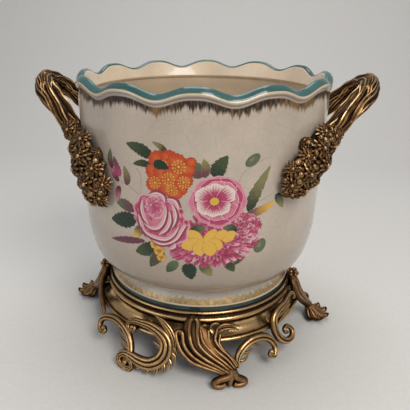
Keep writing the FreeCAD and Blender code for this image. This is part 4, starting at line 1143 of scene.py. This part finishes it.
# Half widths and thicknesses of its outer ribs and of its core
SIDE_RIB_WIDE = (1.6, 3.2, 3.6, 2.8, 2.2, 2.0)
SIDE_RIB_THICK = (1.8, 3.6, 4.2, 4.0, 3.6, 3.0)
SIDE_CORE_WIDE = (2, 8, 9.5, 7, 5, 4)
SIDE_CORE_THICK = (2.5, 3.5, 4, 4, 4, 3)
# Azimuth of the side legs' roots, sweep of the right and the left leg, and the toe's share of it
SIDE_ROOT = 78.0
SIDE_SWEEPS = (11.0, 21.5)
TOE_TURN = 0.88
# Radius and height of the toe's root, then the angle, reach and half width of each of its leaf tips
TOE_ROOT = (121.5, 13.0)
TOE_TIPS = (
    (-74, 17.5, 4.2), (-46, 21.0, 4.9), (-16, 23.0, 5.4), (14, 22.0, 5.4), (42, 19.5, 4.8),
    (70, 15.5, 4.0),
)
# Curl over the toe: azimuth from the toe's, radius and height
TOE_CURL = (
    (-2.6, 112.0, 24.0), (1.4, 116.0, 24.5), (4.0, 121.0, 21.0), (3.8, 123.0, 17.0), (1.6, 121.6, 16.4),
)
# Rib that runs from the left leg down over the end of the apron
LEFT_RIB = ((-77.0, 55.0), (-73.5, 49.0), (-68.0, 42.0), (-61.5, 36.5), (-55.5, 32.5), (-52.0, 27.5))
LEFT_RIB_WIDE = (2.0, 3.4, 4.0, 3.8, 3.0, 1.6)
LEFT_RIB_THICK = (2.0, 3.0, 3.4, 3.2, 2.6, 1.6)
# Finial: radius and height of its middle, radius of its core, its berries' distance and radius, and the
# berries in each tier
FINIAL_PLACE = (102.4, 60.5)
FINIAL_CORE = 5.0
FINIAL_REACH = 4.4
FINIAL_BERRY = 2.1
FINIAL_TIERS = (1, 4, 6, 6)


def ring_pieces(bronze):
    """Beaded collar and concave apron."""
    for name, outline, node in (
            ("beaded_collar", COLLAR_OUTLINE, "base_collar"), ("concave_apron", APRON_OUTLINE, "apron_band")):
        form = Form()
        lathe(form, outline)
        form.piece(name, bronze, "bronze", [node], sharp=70)


class PLANTER_OT_rings(bpy.types.Operator):
    """Collar and apron of the base"""
    bl_idname = "planter.rings"
    bl_label = "Collar and apron"

    def execute(self, context):
        # High wear on the rings: partly their own rubbed gilt, partly painted light that lifts the apron in
        # the collar's shade
        ring_pieces(bronze_finish("antique_bronze_rings", worn=1.5, patina=0.0))
        return {"FINISHED"}


def shell_leg():
    """Front leg: wavy ribs gathered at the ankle, and a curled foot."""
    form = Form()
    sweep(form, on_slope(LEG_SLOPE, SHELL_BACK, -3.2), SHELL_BACK_WIDE, SHELL_BACK_THICK)
    for places, half, lift in SHELL_RIBS:
        count = len(places)
        wide = [half * (0.75 if step == 0 else 1.0 - 0.32 * step / (count - 1)) for step in range(count)]
        sweep(form, on_slope(LEG_SLOPE, places, lift), wide, [1.25 * part for part in wide], lean=0.5)
    for places in SHELL_CURLS:
        wide = np.linspace(4.0, 2.6, len(places))
        sweep(form, on_slope(LEG_SLOPE, places, 0.8), wide, 1.2 * wide, lean=0.2)
    for places in SPRIGS:
        sweep(form, on_slope(SCROLL_SLOPE, places, -2.6), (1.2, 1.7, 1.5, 0.6), (1.5, 2.0, 1.8, 0.7))
    ball(form, on_slope(LEG_SLOPE, [(16.4, 8.6)], 2.2)[0], 2.6)
    return form


def spurs(form, rows, slope, half, lift=0.0):
    """Pointed leaf tips along a casting."""
    for places in rows:
        wide = (half, 0.85 * half, 0.25)
        thick = (0.8 * half, 0.7 * half, 0.25)
        sweep(form, on_slope(slope, places, lift), wide, thick, 2, 0.3)


def standing_scroll():
    """C-scroll with ridges, two volutes, a plume and a leafy fringe."""
    form = Form()
    wide = np.array(C_SCROLL_WIDE)
    sweep(form, on_slope(SCROLL_SLOPE, C_SCROLL), wide, 1.6 + 0.5 * wide, 3, 0.42, 0.35, 7)
    sweep(form, on_slope(SCROLL_SLOPE, PLUME, 0.4), PLUME_WIDE, PLUME_THICK, 3, 0.42)
    spurs(form, C_SPURS, SCROLL_SLOPE, 2.8)
    for place, radius, boss in VOLUTES:
        disc = on_slope(SCROLL_SLOPE, [place] * len(VOLUTE_LIFTS), np.array(VOLUTE_LIFTS))
        reach = (radius, radius, 0.9 * radius)
        sweep(form, disc, reach, reach, steps=5, back=1.0, face=(0, 0, 1))
        ball(form, on_slope(SCROLL_SLOPE, [place], 0.8)[0], boss)
    sweep(form, on_slope(SCROLL_SLOPE, PAD, -2.0), (1.8, 1.8, 1.8), (4.0, 5.0, 4.0), lean=0)
    return form


def arch(line, wide, tips, knob):
    """Arched bracket with two ridges, a curled tip round a knob and leaf spurs."""
    form = Form()
    wide = ARCH_SWELL * np.asarray(wide)
    ball(form, on_slope(SCROLL_SLOPE, [knob], -0.4)[0], KNOB_RADIUS, 0.8)
    sweep(form, on_slope(SCROLL_SLOPE, line), wide, 1.4 + 0.65 * wide, 2, 0.5, 0.35, 7)
    spurs(form, tips, SCROLL_SLOPE, 2.0, -0.6)
    return form


def hanging_scroll():
    """Smaller scroll under the collar, with ridged leaves in its bow."""
    form = Form()
    wide = np.array(HANGING_WIDE)
    sweep(form, on_slope(SCROLL_SLOPE, HANGING_SCROLL), wide, 1.6 + 0.6 * wide, 2, 0.5, 0.35, 7)
    for places in HANGING_LEAVES:
        sweep(form, on_slope(SCROLL_SLOPE, places, -2.4), (1.9, 2.3, 0.8), (1.6, 2.0, 0.8), 2, 0.35)
    return form


def side_leg(sweep_angle):
    """Leg on the right: four broad ribs and an acanthus toe, swept back by an angle in degrees."""
    form = Form()
    rows = np.array(SIDE_LEG)
    rows[:, 1] = SIDE_ROOT + rows[:, 1] * sweep_angle
    toe = SIDE_ROOT + TOE_TURN * sweep_angle
    for share in (-1.0, -0.34, 0.34, 1.0):
        turn = rows[:, 1] + np.degrees(share * rows[:, 3] / rows[:, 0])
        lift = 1.6 * (1 - share ** 2)
        line = polar(turn, rows[:, 0] + lift, rows[:, 2])
        sweep(form, line, SIDE_RIB_WIDE, SIDE_RIB_THICK, lean=0.8)
    middle = polar(rows[:, 1], rows[:, 0] - 2.6, rows[:, 2])
    sweep(form, middle, SIDE_CORE_WIDE, SIDE_CORE_THICK, lean=0.8)
    root = polar(toe, *TOE_ROOT)
    for angle, reach, half in TOE_TIPS:
        heading = polar(toe + angle, 1.0, 0.0)
        lift = 0.5 * (1 - abs(angle) / 80)
        line = [root - heading * 2, root + heading * 0.34 * reach + (0, 0, -4.6 + 2 * lift),
                root + heading * 0.72 * reach + (0, 0, -8.8 + lift),
                root + heading * reach + (0, 0, -8.0 + lift),
                root + heading * (reach + 0.6) + (0, 0, -5.0 + lift)]
        wide = (2.2, 0.8 * half, half, 0.75 * half, 0.5)
        sweep(form, line, wide, (2.4, 2.6, 2.2, 1.8, 0.6), 2, 0.45, face=(0, 0, 1))
    ball(form, polar(toe - 0.4, 120.0, 17.5), 3.4)
    curl = [polar(toe + turn, radius, height) for turn, radius, height in TOE_CURL]
    sweep(form, curl, (1.4, 2.0, 2.0, 1.7, 1.0), (1.6, 2.2, 2.2, 1.8, 1.0))
    return form


def finial():
    """Bunch of berries on the right leg."""
    form = Form()
    centre = polar(SIDE_ROOT, *FINIAL_PLACE)
    ball(form, centre, FINIAL_CORE, 0.0)
    for tier, count in enumerate(FINIAL_TIERS):
        tilt = math.pi * (tier + 0.15) / 4.3
        for number in range(count):
            turn = 2 * math.pi * (number + tier / 2) / count
            heading = (math.sin(tilt) * math.cos(turn), math.sin(tilt) * math.sin(turn), math.cos(tilt))
            ball(form, centre + FINIAL_REACH * np.array(heading), FINIAL_BERRY)
    return form


def pair(form, change, names, material):
    """A casting and its copy: name of the piece and of the node for each."""
    for (name, node), shape in zip(names, (form, form.copy(change))):
        shape.piece(name, material, "bronze", [node])


class PLANTER_OT_legs(bpy.types.Operator):
    """Legs of the base and their finials"""
    bl_idname = "planter.legs"
    bl_label = "Legs"

    def execute(self, context):
        bronze = bronze_finish("antique_bronze_legs", worn=0.78, patina=0.45)
        pair(shell_leg(), half_turned, (
            ("front_shell_leg", "front_leg"), ("back_shell_leg", "back_leg")), bronze)
        right_sweep, left_sweep = SIDE_SWEEPS
        side_leg(right_sweep).piece("right_acanthus_leg", bronze, "bronze", ["right_leg"])
        left = side_leg(left_sweep).copy(mirrored)
        sweep(left, on_slope(SCROLL_SLOPE, LEFT_RIB), LEFT_RIB_WIDE, LEFT_RIB_THICK, 2)
        left.piece("left_acanthus_leg", bronze, "bronze", ["left_leg"])
        pair(finial(), mirrored, (("right_berries", "right_finial"), ("left_berries", "left_finial")), bronze)
        return {"FINISHED"}


class PLANTER_OT_scrolls(bpy.types.Operator):
    """Scrolls and arches between the legs"""
    bl_idname = "planter.scrolls"
    bl_label = "Scrolls and arches"

    def execute(self, context):
        bronze = bronze_finish("antique_bronze_scrolls", worn=1.0, patina=0.30)
        pair(standing_scroll(), half_turned, (
            ("front_c_scroll", "front_left_scroll"), ("back_c_scroll", "back_right_scroll")), bronze)
        pair(hanging_scroll(), half_turned, (
            ("front_hanging_scroll", "front_right_scroll"),
            ("back_hanging_scroll", "back_left_scroll")), bronze)
        left = arch(LEFT_ARCH, LEFT_ARCH_WIDE, LEFT_SPURS, LEFT_KNOB)
        pair(left, half_turned, (
            ("front_left_bracket", "front_left_arch"), ("back_right_bracket", "back_right_arch")), bronze)
        right = arch(RIGHT_ARCH, RIGHT_ARCH_WIDE, RIGHT_SPURS, RIGHT_KNOB)
        pair(right, half_turned, (
            ("front_right_bracket", "front_right_arch"), ("back_left_bracket", "back_left_arch")), bronze)
        return {"FINISHED"}


# Handles

# Middle line of the right handle: distance up its plane and distance to the side; distance outwards and
# height at which its ends leave the wall, and the plane's direction outwards and up
HANDLE_LINE = (
    (-6.2, -51.3), (0, -48.7), (23.8, -38.8), (46.6, -28.8), (59.0, -17.4), (63.8, 0), (59.0, 17.4),
    (46.6, 28.8), (23.8, 38.8), (0, 48.7), (-6.2, 51.3),
)
HANDLE_FOOT = (109.4, 208.0)
HANDLE_RISE = (0.719, 0.695)
# Twigs in a handle, pairs of lines in a twig's bark, and radius of the core that the twigs lie on
TWIGS = 13
BARK_LINES = 3
HANDLE_CORE = 6.0
# Sections along a handle, points round a twig, and the seed of the random draws
HANDLE_STEPS = 150
TWIG_POINTS = 24
TWIG_SEED = 11
# Knots near the top: distance from the middle line, then share of the handle's length, shift upwards and
# radius of each
KNOT_REACH = 4.6
KNOTS = ((0.5, 2.5, 5.2), (0.46, 4.5, 3.8), (0.55, -1.5, 4.0), (0.36, 4.0, 3.6), (0.66, 3.5, 4.0))


def twig_handle():
    """Bundle of gnarled twigs twisted round each other and bent into a loop, with knots at its top."""
    form = Form()
    line = np.array(HANDLE_LINE)
    rise = np.array((HANDLE_RISE[0], 0, HANDLE_RISE[1]))
    path = smooth_line(
        (HANDLE_FOOT[0], 0, HANDLE_FOOT[1]) + line[:, :1] * rise + line[:, 1:] * (0, 1, 0), HANDLE_STEPS)
    along = unit(np.gradient(path, axis=0))
    up = np.array((-HANDLE_RISE[1], 0, HANDLE_RISE[0]))
    out = unit(np.cross(along, np.broadcast_to(up, along.shape)))
    share = np.linspace(-1, 1, HANDLE_STEPS)
    chance = np.random.default_rng(TWIG_SEED)
    ring = np.linspace(0, 2 * math.pi, TWIG_POINTS, endpoint=False)
    core = path[:, None] + HANDLE_CORE * (out[:, None] * np.cos(ring)[:, None] + up * np.sin(ring)[:, None])
    form.rings(core, 0.0)
    twig = sizes().twig_radius / MM
    bundle = sizes().bundle_radius / MM * (0.94 + 0.16 * np.cos(share * math.pi / 2) ** 2)
    for number in range(TWIGS):
        start = 2 * math.pi * number / TWIGS
        wander = sum(
            size * np.sin(share * chance.uniform(*waves) + chance.uniform(0, 6))
            for size, waves in ((0.30, (3, 6)), (0.16, (9, 14)), (0.06, (22, 34))))
        angle = start + 1.1 * share + wander
        reach = bundle * (0.98 + 0.12 * np.sin(share * chance.uniform(4, 10) + chance.uniform(0, 6)))
        radial = out * np.cos(angle)[:, None] + up * np.sin(angle)[:, None]
        sideways = -out * np.sin(angle)[:, None] + up * np.cos(angle)[:, None]
        middle = path + radial * reach[:, None]
        thick = twig * chance.uniform(0.75, 1.2) * (
            1 + 0.20 * np.sin(share * chance.uniform(8, 15) + number)
            + 0.08 * np.sin(share * chance.uniform(30, 44) + number))
        bark = 1 + 0.16 * np.cos(BARK_LINES * 2 * ring + chance.uniform(0, 6) + 2.0 * share[:, None])
        section = (radial[:, None] * np.cos(ring)[:, None]
                   + sideways[:, None] * (np.sin(ring) * 0.85)[:, None])
        form.rings(
            middle[:, None] + section * (thick[:, None] * bark)[..., None],
            np.clip(np.cos(ring), 0, 1) ** 2 * np.clip((bark - 0.86) / 0.3, 0, 1))
    for place, shift, radius in KNOTS:
        row = round(place * (HANDLE_STEPS - 1))
        ball(form, path[row] + out[row] * KNOT_REACH + up * shift, radius, 0.45)
    return form


class PLANTER_OT_handles(bpy.types.Operator):
    """Twig-loop handles"""
    bl_idname = "planter.handles"
    bl_label = "Handles"

    def execute(self, context):
        bronze = bronze_finish("antique_bronze_twigs", worn=1.3, patina=0.30)
        pair(twig_handle(), mirrored, (
            ("right_twig_loop", "right_handle"), ("left_twig_loop", "left_handle")), bronze)
        return {"FINISHED"}


# Clusters

# Half length, half width and swell of a cluster
CLUSTER_HALF = (35.0, 19.5, 15.0)
# Heights on the wall behind a cluster, and the wall's radius there
CLUSTER_WALL = ((150, 180, 218, 243), (117.8, 118.8, 120, 120.5))
# Azimuth and height of the middle of the right clusters and of the left ones, and their tilt; then the seeds
# of their random draws
CLUSTER_SEATS = ((50.5, 199.0, 52.0), (49.0, 188.5, 34.0))
RIGHT_SEED = 23
LEFT_SEED = 24


def cluster_place(seat, run, side):
    """Point on a cluster's swell and its outward direction, from shares of half length and half width."""
    middle, rise, tilt = seat[0], seat[1], math.radians(seat[2])
    half_length, half_width, thick = CLUSTER_HALF
    side = side * (1 - abs(run) ** 4) ** 0.5
    height = rise - run * half_length * math.cos(tilt) - side * half_width * math.sin(tilt)
    shift = run * half_length * math.sin(tilt) - side * half_width * math.cos(tilt)
    wall = float(np.interp(height, *CLUSTER_WALL))
    azimuth = middle - math.degrees(shift / wall)
    swell = (max(1 - abs(run) ** 3, 0) * max(1 - side ** 2, 0)) ** 0.5
    outward = polar(azimuth, 1.0, 0.0)
    lateral = polar(azimuth + 90, 1.0, 0.0)
    upright = np.array((0, 0, 1.0))
    sideways = lateral * math.cos(tilt) - upright * math.sin(tilt)
    along = -lateral * math.sin(tilt) - upright * math.cos(tilt)
    facing = (outward * (swell + 0.12) / thick + sideways * side / half_width
              + along * np.sign(run) * abs(run) ** 2 / half_length)
    return polar(azimuth, wall + 1.5 + thick * swell, height), unit(facing)


# Tiers of a blossom: petals, and shares of its radius for their length, rise and half width
BLOSSOM_TIERS = ((12, 1.0, 0.10, 0.22), (9, 0.66, 0.34, 0.20), (6, 0.36, 0.46, 0.12))


def blossom(form, centre, facing, radius, chance):
    """Cast flower head of pointed petals in tiers round a button."""
    right = unit(np.cross(facing, (0.3, 0.2, 1.0)))
    up = np.cross(facing, right)
    spin = chance.uniform(0, 2 * math.pi)
    for count, reach, rise, half in BLOSSOM_TIERS:
        for number in range(count):
            angle = spin + 2 * math.pi * (number + chance.uniform(-0.15, 0.15)) / count
            heading = right * math.cos(angle) + up * math.sin(angle)
            long = radius * reach * chance.uniform(0.88, 1.1)
            line = [centre + heading * long * 0.12 + facing * radius * rise * 0.35,
                    centre + heading * long * 0.6 + facing * radius * (rise + 0.06),
                    centre + heading * long + facing * radius * (rise - 0.08)]
            sweep(form, line, (radius * half * 0.5, radius * half, radius * half * 0.35),
                  (radius * 0.07, radius * 0.11, radius * 0.07), 1, steps=3,
                  face=facing + 0.2 * heading, fade=0.1)
        spin += 0.35
    ball(form, centre + facing * radius * 0.55, radius * 0.17, 1.0)


# How deep the blossoms sit in the cluster's swell, and how far from the handle's middle line at its foot
BLOSSOM_SINK = 3.0
FOOT_REACH = 7.5
# Blossoms: shares of the half length and half width, and of the radius of a blossom
BLOSSOMS = (
    (-0.92, -0.30, 0.85), (-0.86, 0.45, 0.90), (-0.70, 0.95, 0.80), (-0.62, -0.80, 0.90),
    (-0.55, 0.05, 1.05), (-0.30, 0.66, 1.00), (-0.24, -0.50, 1.10), (-0.16, -1.0, 0.75),
    (-0.04, 0.12, 1.25), (0.02, 1.0, 0.80), (0.16, -0.76, 0.95), (0.30, 0.62, 1.05), (0.42, -0.22, 1.20),
    (0.52, 1.0, 0.75), (0.60, -0.86, 0.85), (0.68, 0.36, 1.10), (0.84, -0.40, 0.90), (0.92, 0.30, 0.90),
)
# Blossoms round the foot of the handle: distance up the handle, side that they face, and share of the radius
FOOT_BLOSSOMS = (
    (9.0, (0.3, -1.0, 0.1), 0.95), (8.0, (1.0, -0.4, -0.4), 0.90), (8.0, (-0.5, -0.6, 0.7), 0.80),
    (3.0, (0.9, 0.5, -0.6), 0.85), (14.0, (0.8, -0.8, -0.2), 0.70))
# Berries tried, and how far from a blossom, as a share of its radius, one has to lie to be kept
BERRIES = 90
BERRY_CLEAR = 0.72
# Depth of the dark swell under the blossoms, its share of the cluster's halves, and its radius at the wall
SWELL_DEPTH = 5.0
SWELL_SHARE = 0.94
SWELL_WALL = 121.2


def berry_cluster(seat, seed):
    """Cluster at the front right: blossoms and berries over a dark swell and round the handle's foot."""
    form = Form()
    chance = np.random.default_rng(seed)
    lengthwise, crosswise = (np.linspace(-SWELL_SHARE, SWELL_SHARE, count) for count in (13, 11))
    top = np.array([
        [centre - SWELL_DEPTH * facing
         for centre, facing in (cluster_place(seat, run, side) for side in crosswise)]
        for run in lengthwise])
    inner = top[:, ::-1]
    wall = np.linalg.norm(inner[..., :2], axis=-1, keepdims=True)
    base = inner - unit(inner * (1, 1, 0)) * np.maximum(wall - SWELL_WALL, 0)
    form.rings(np.concatenate([top, base], 1), 0.0)
    radius = sizes().blossom_radius / MM
    heads = []
    for run, side, share in BLOSSOMS:
        centre, facing = cluster_place(seat, run, side)
        heads.append((centre - facing * BLOSSOM_SINK, facing, radius * share * chance.uniform(0.92, 1.06)))
    foot = np.array((HANDLE_FOOT[0], HANDLE_LINE[1][1], HANDLE_FOOT[1]))
    climb = HANDLE_LINE[2][0]
    aside = HANDLE_LINE[2][1] - HANDLE_LINE[1][1]
    leg = unit(np.array((HANDLE_RISE[0] * climb, aside, HANDLE_RISE[1] * climb)))
    for distance, side, share in FOOT_BLOSSOMS:
        facing = unit(np.array(side) - leg * np.dot(side, leg))
        heads.append((foot + leg * distance + facing * FOOT_REACH, facing, radius * share))
    for centre, facing, reach in heads:
        blossom(form, centre, facing, reach, chance)
    berry = sizes().berry_radius / MM
    for _ in range(BERRIES):
        centre, facing = cluster_place(seat, chance.uniform(-0.97, 0.97), chance.uniform(-1, 1))
        radius = berry * chance.uniform(0.8, 1.5)
        if min(np.linalg.norm(centre - head) / reach for head, _, reach in heads) > BERRY_CLEAR:
            ball(form, centre + facing * chance.uniform(-1.5, 1.0), radius, chance.uniform(0.6, 1.0))
    return form


class PLANTER_OT_clusters(bpy.types.Operator):
    """Bunches of cast blossoms at the ends of the handles"""
    bl_idname = "planter.clusters"
    bl_label = "Clusters"

    def execute(self, context):
        bronze = bronze_finish("antique_bronze_blossoms", worn=0.95, patina=0.6)
        right_seat, left_seat = CLUSTER_SEATS
        pair(berry_cluster(right_seat, RIGHT_SEED), swapped, (
            ("right_front_blossoms", "right_front_cluster"),
            ("right_back_blossoms", "right_back_cluster")), bronze)
        pair(berry_cluster(left_seat, LEFT_SEED).copy(mirrored), swapped, (
            ("left_front_blossoms", "left_front_cluster"),
            ("left_back_blossoms", "left_back_cluster")), bronze)
        return {"FINISHED"}


# Fasteners

BRASS = (0.62, 0.44, 0.17)
STEEL = (0.42, 0.42, 0.42)
DARK_RUBBER = (0.012, 0.012, 0.012)
PALE_RUBBER = (0.03, 0.03, 0.03)
DARK_CORK = (0.25, 0.14, 0.06)
PALE_CORK = (0.55, 0.37, 0.2)


class PLANTER_OT_fasteners(bpy.types.Operator):
    """Finishes of the studs, screws, strap, seal and gasket"""
    bl_idname = "planter.fasteners"
    bl_label = "Fasteners"

    def execute(self, context):
        brass = plain_metal("fastener_brass", BRASS, rough=0.25)
        steel = plain_metal("strap_steel", STEEL, rough=0.35)
        rubber = grained("seal_rubber", DARK_RUBBER, PALE_RUBBER, scale=500, rough=0.6)
        cork = grained("gasket_cork", DARK_CORK, PALE_CORK, scale=900, rough=0.75)
        for material, nodes in (
                (brass, ("handle_studs", "handle_washers", "handle_nuts", "tie_washer", "tie_nut", "tie_bolt",
                         "leg_screws", "scroll_screws")),
                (steel, ("cross_strap",)), (rubber, ("tie_seal",)), (cork, ("foot_gasket",))):
            for node in nodes:
                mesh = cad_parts[node].data
                mesh.materials.clear()
                mesh.materials.append(material)
        return {"FINISHED"}


# Stage

# Floor in metres: half width, front edge, start and radius of its bend, gap from the bend's ends to the next
# row of points, and the wall's top; then the tone of the paper's grain
FLOOR_HALF = 2.2
FLOOR_FRONT = -0.9
BEND_START = 0.6
BEND_RADIUS = 0.6
BEND_GAP = 0.01
WALL_TOP = 1.4
PAPER_SHADE = 0.96
# Lamps: name, place, size, power and colour; the place that they are aimed at; and the sky's colour and
# strength
LAMPS = (
    ("key", (0.55, -0.95, 1.15), 0.7, 13.0, (1.0, 0.96, 0.90)),
    ("fill", (-1.0, -0.8, 0.8), 0.9, 3.0, (0.93, 0.96, 1.0)),
    ("top", (0.0, 0.3, 1.3), 0.8, 7.0, (1.0, 1.0, 1.0)))
LAMP_AIM = (0, 0, 0.15)
SKY = (0.80, 0.80, 0.82, 1)
SKY_STRENGTH = 0.32
# Camera: side of the picture, focal length and shift in pixels; its azimuth in degrees, and its radius and
# height in millimetres; and how far it looks down and turns, in degrees
PICTURE_SIDE = 410
FOCAL_LENGTH = 485
LENS_SHIFT = 28.8
CAMERA_PLACE = (3.0, 482.0, 313.0)
CAMERA_DOWN = 21.35
CAMERA_TURN = 6.02


class PLANTER_OT_stage(bpy.types.Operator):
    """Pale floor, soft lights and the camera"""
    bl_idname = "planter.stage"
    bl_label = "Stage"

    def execute(self, context):
        scene = context.scene
        scene.view_settings.view_transform = "Standard"
        mesh = bpy.data.meshes.new("studio_floor")
        bend = np.linspace(0, math.pi / 2, 40)
        rows = [(y, 0.0) for y in np.linspace(FLOOR_FRONT, BEND_START - BEND_GAP, 16)]
        rows += [(BEND_START + BEND_RADIUS * math.sin(turn), BEND_RADIUS - BEND_RADIUS * math.cos(turn))
                 for turn in bend]
        rows += [(BEND_START + BEND_RADIUS, z) for z in np.linspace(BEND_RADIUS + BEND_GAP, WALL_TOP, 9)]
        points = [(side, y, z) for y, z in rows for side in (-FLOOR_HALF, FLOOR_HALF)]
        faces = [(2 * row, 2 * row + 1, 2 * row + 3, 2 * row + 2) for row in range(len(rows) - 1)]
        mesh.from_pydata(points, [], faces)
        mesh.polygons.foreach_set("use_smooth", [True] * len(mesh.polygons))
        paper = Finish("studio_paper", Roughness=0.8)
        speck = paper.noise(240, 2)
        tone = colours().floor
        shade = tuple(PAPER_SHADE * part for part in tone)
        paper.set("Base Color", paper.mix(speck.rise(0.3, 0.7), shade, tone))
        mesh.materials.append(paper.material)
        floor = bpy.data.objects.new("studio_floor", mesh)
        scene.collection.objects.link(floor)
        world = bpy.data.worlds.new("studio")
        world.use_nodes = True
        world.node_tree.nodes["Background"].inputs["Color"].default_value = SKY
        world.node_tree.nodes["Background"].inputs["Strength"].default_value = SKY_STRENGTH
        scene.world = world
        for name, place, size, power, tone in LAMPS:
            light = bpy.data.lights.new(name, "AREA")
            light.size = size
            light.energy = power
            light.color = tone
            lamp = bpy.data.objects.new(name, light)
            lamp.location = place
            aim = Vector(LAMP_AIM) - lamp.location
            lamp.rotation_euler = aim.to_track_quat("-Z", "Y").to_euler()
            scene.collection.objects.link(lamp)
        lens = bpy.data.cameras.new("photo_camera")
        lens.sensor_fit = "HORIZONTAL"
        lens.angle = 2 * math.atan(PICTURE_SIDE / 2 / FOCAL_LENGTH)
        lens.shift_x = LENS_SHIFT / PICTURE_SIDE
        camera = bpy.data.objects.new("photo_camera", lens)
        camera.location = polar(*CAMERA_PLACE) * MM
        camera.rotation_euler = (math.radians(90 - CAMERA_DOWN), 0, math.radians(CAMERA_TURN))
        scene.collection.objects.link(camera)
        scene.camera = camera
        return {"FINISHED"}


OPERATORS = (
    PLANTER_OT_pot, PLANTER_OT_painting, PLANTER_OT_rings, PLANTER_OT_legs, PLANTER_OT_scrolls,
    PLANTER_OT_handles, PLANTER_OT_clusters, PLANTER_OT_fasteners, PLANTER_OT_stage,
)


class PLANTER_PT_panel(bpy.types.Panel):
    """Buttons that make the planter's pieces"""
    bl_idname = "PLANTER_PT_panel"
    bl_label = "Planter"
    bl_space_type = "VIEW_3D"
    bl_region_type = "UI"
    bl_category = "Planter"

    def draw(self, context):
        for group in (context.scene.planter_sizes, context.scene.planter_colours):
            for name in group.__annotations__:
                self.layout.prop(group, name)
        for operator in OPERATORS:
            self.layout.operator(operator.bl_idname)


CLASSES = (PlanterSizes, PlanterColours, *OPERATORS, PLANTER_PT_panel)


def register():
    for cls in CLASSES:
        bpy.utils.register_class(cls)
    bpy.types.Scene.planter_sizes = PointerProperty(type=PlanterSizes)
    bpy.types.Scene.planter_colours = PointerProperty(type=PlanterColours)


def unregister():
    del bpy.types.Scene.planter_colours
    del bpy.types.Scene.planter_sizes
    for cls in reversed(CLASSES):
        bpy.utils.unregister_class(cls)


def main():
    register()
    bpy.ops.planter.stage()
    bpy.ops.planter.pot()
    bpy.ops.planter.painting()
    bpy.ops.planter.rings()
    bpy.ops.planter.legs()
    bpy.ops.planter.scrolls()
    bpy.ops.planter.handles()
    bpy.ops.planter.clusters()
    bpy.ops.planter.fasteners()


if __name__ == "__main__":
    main()
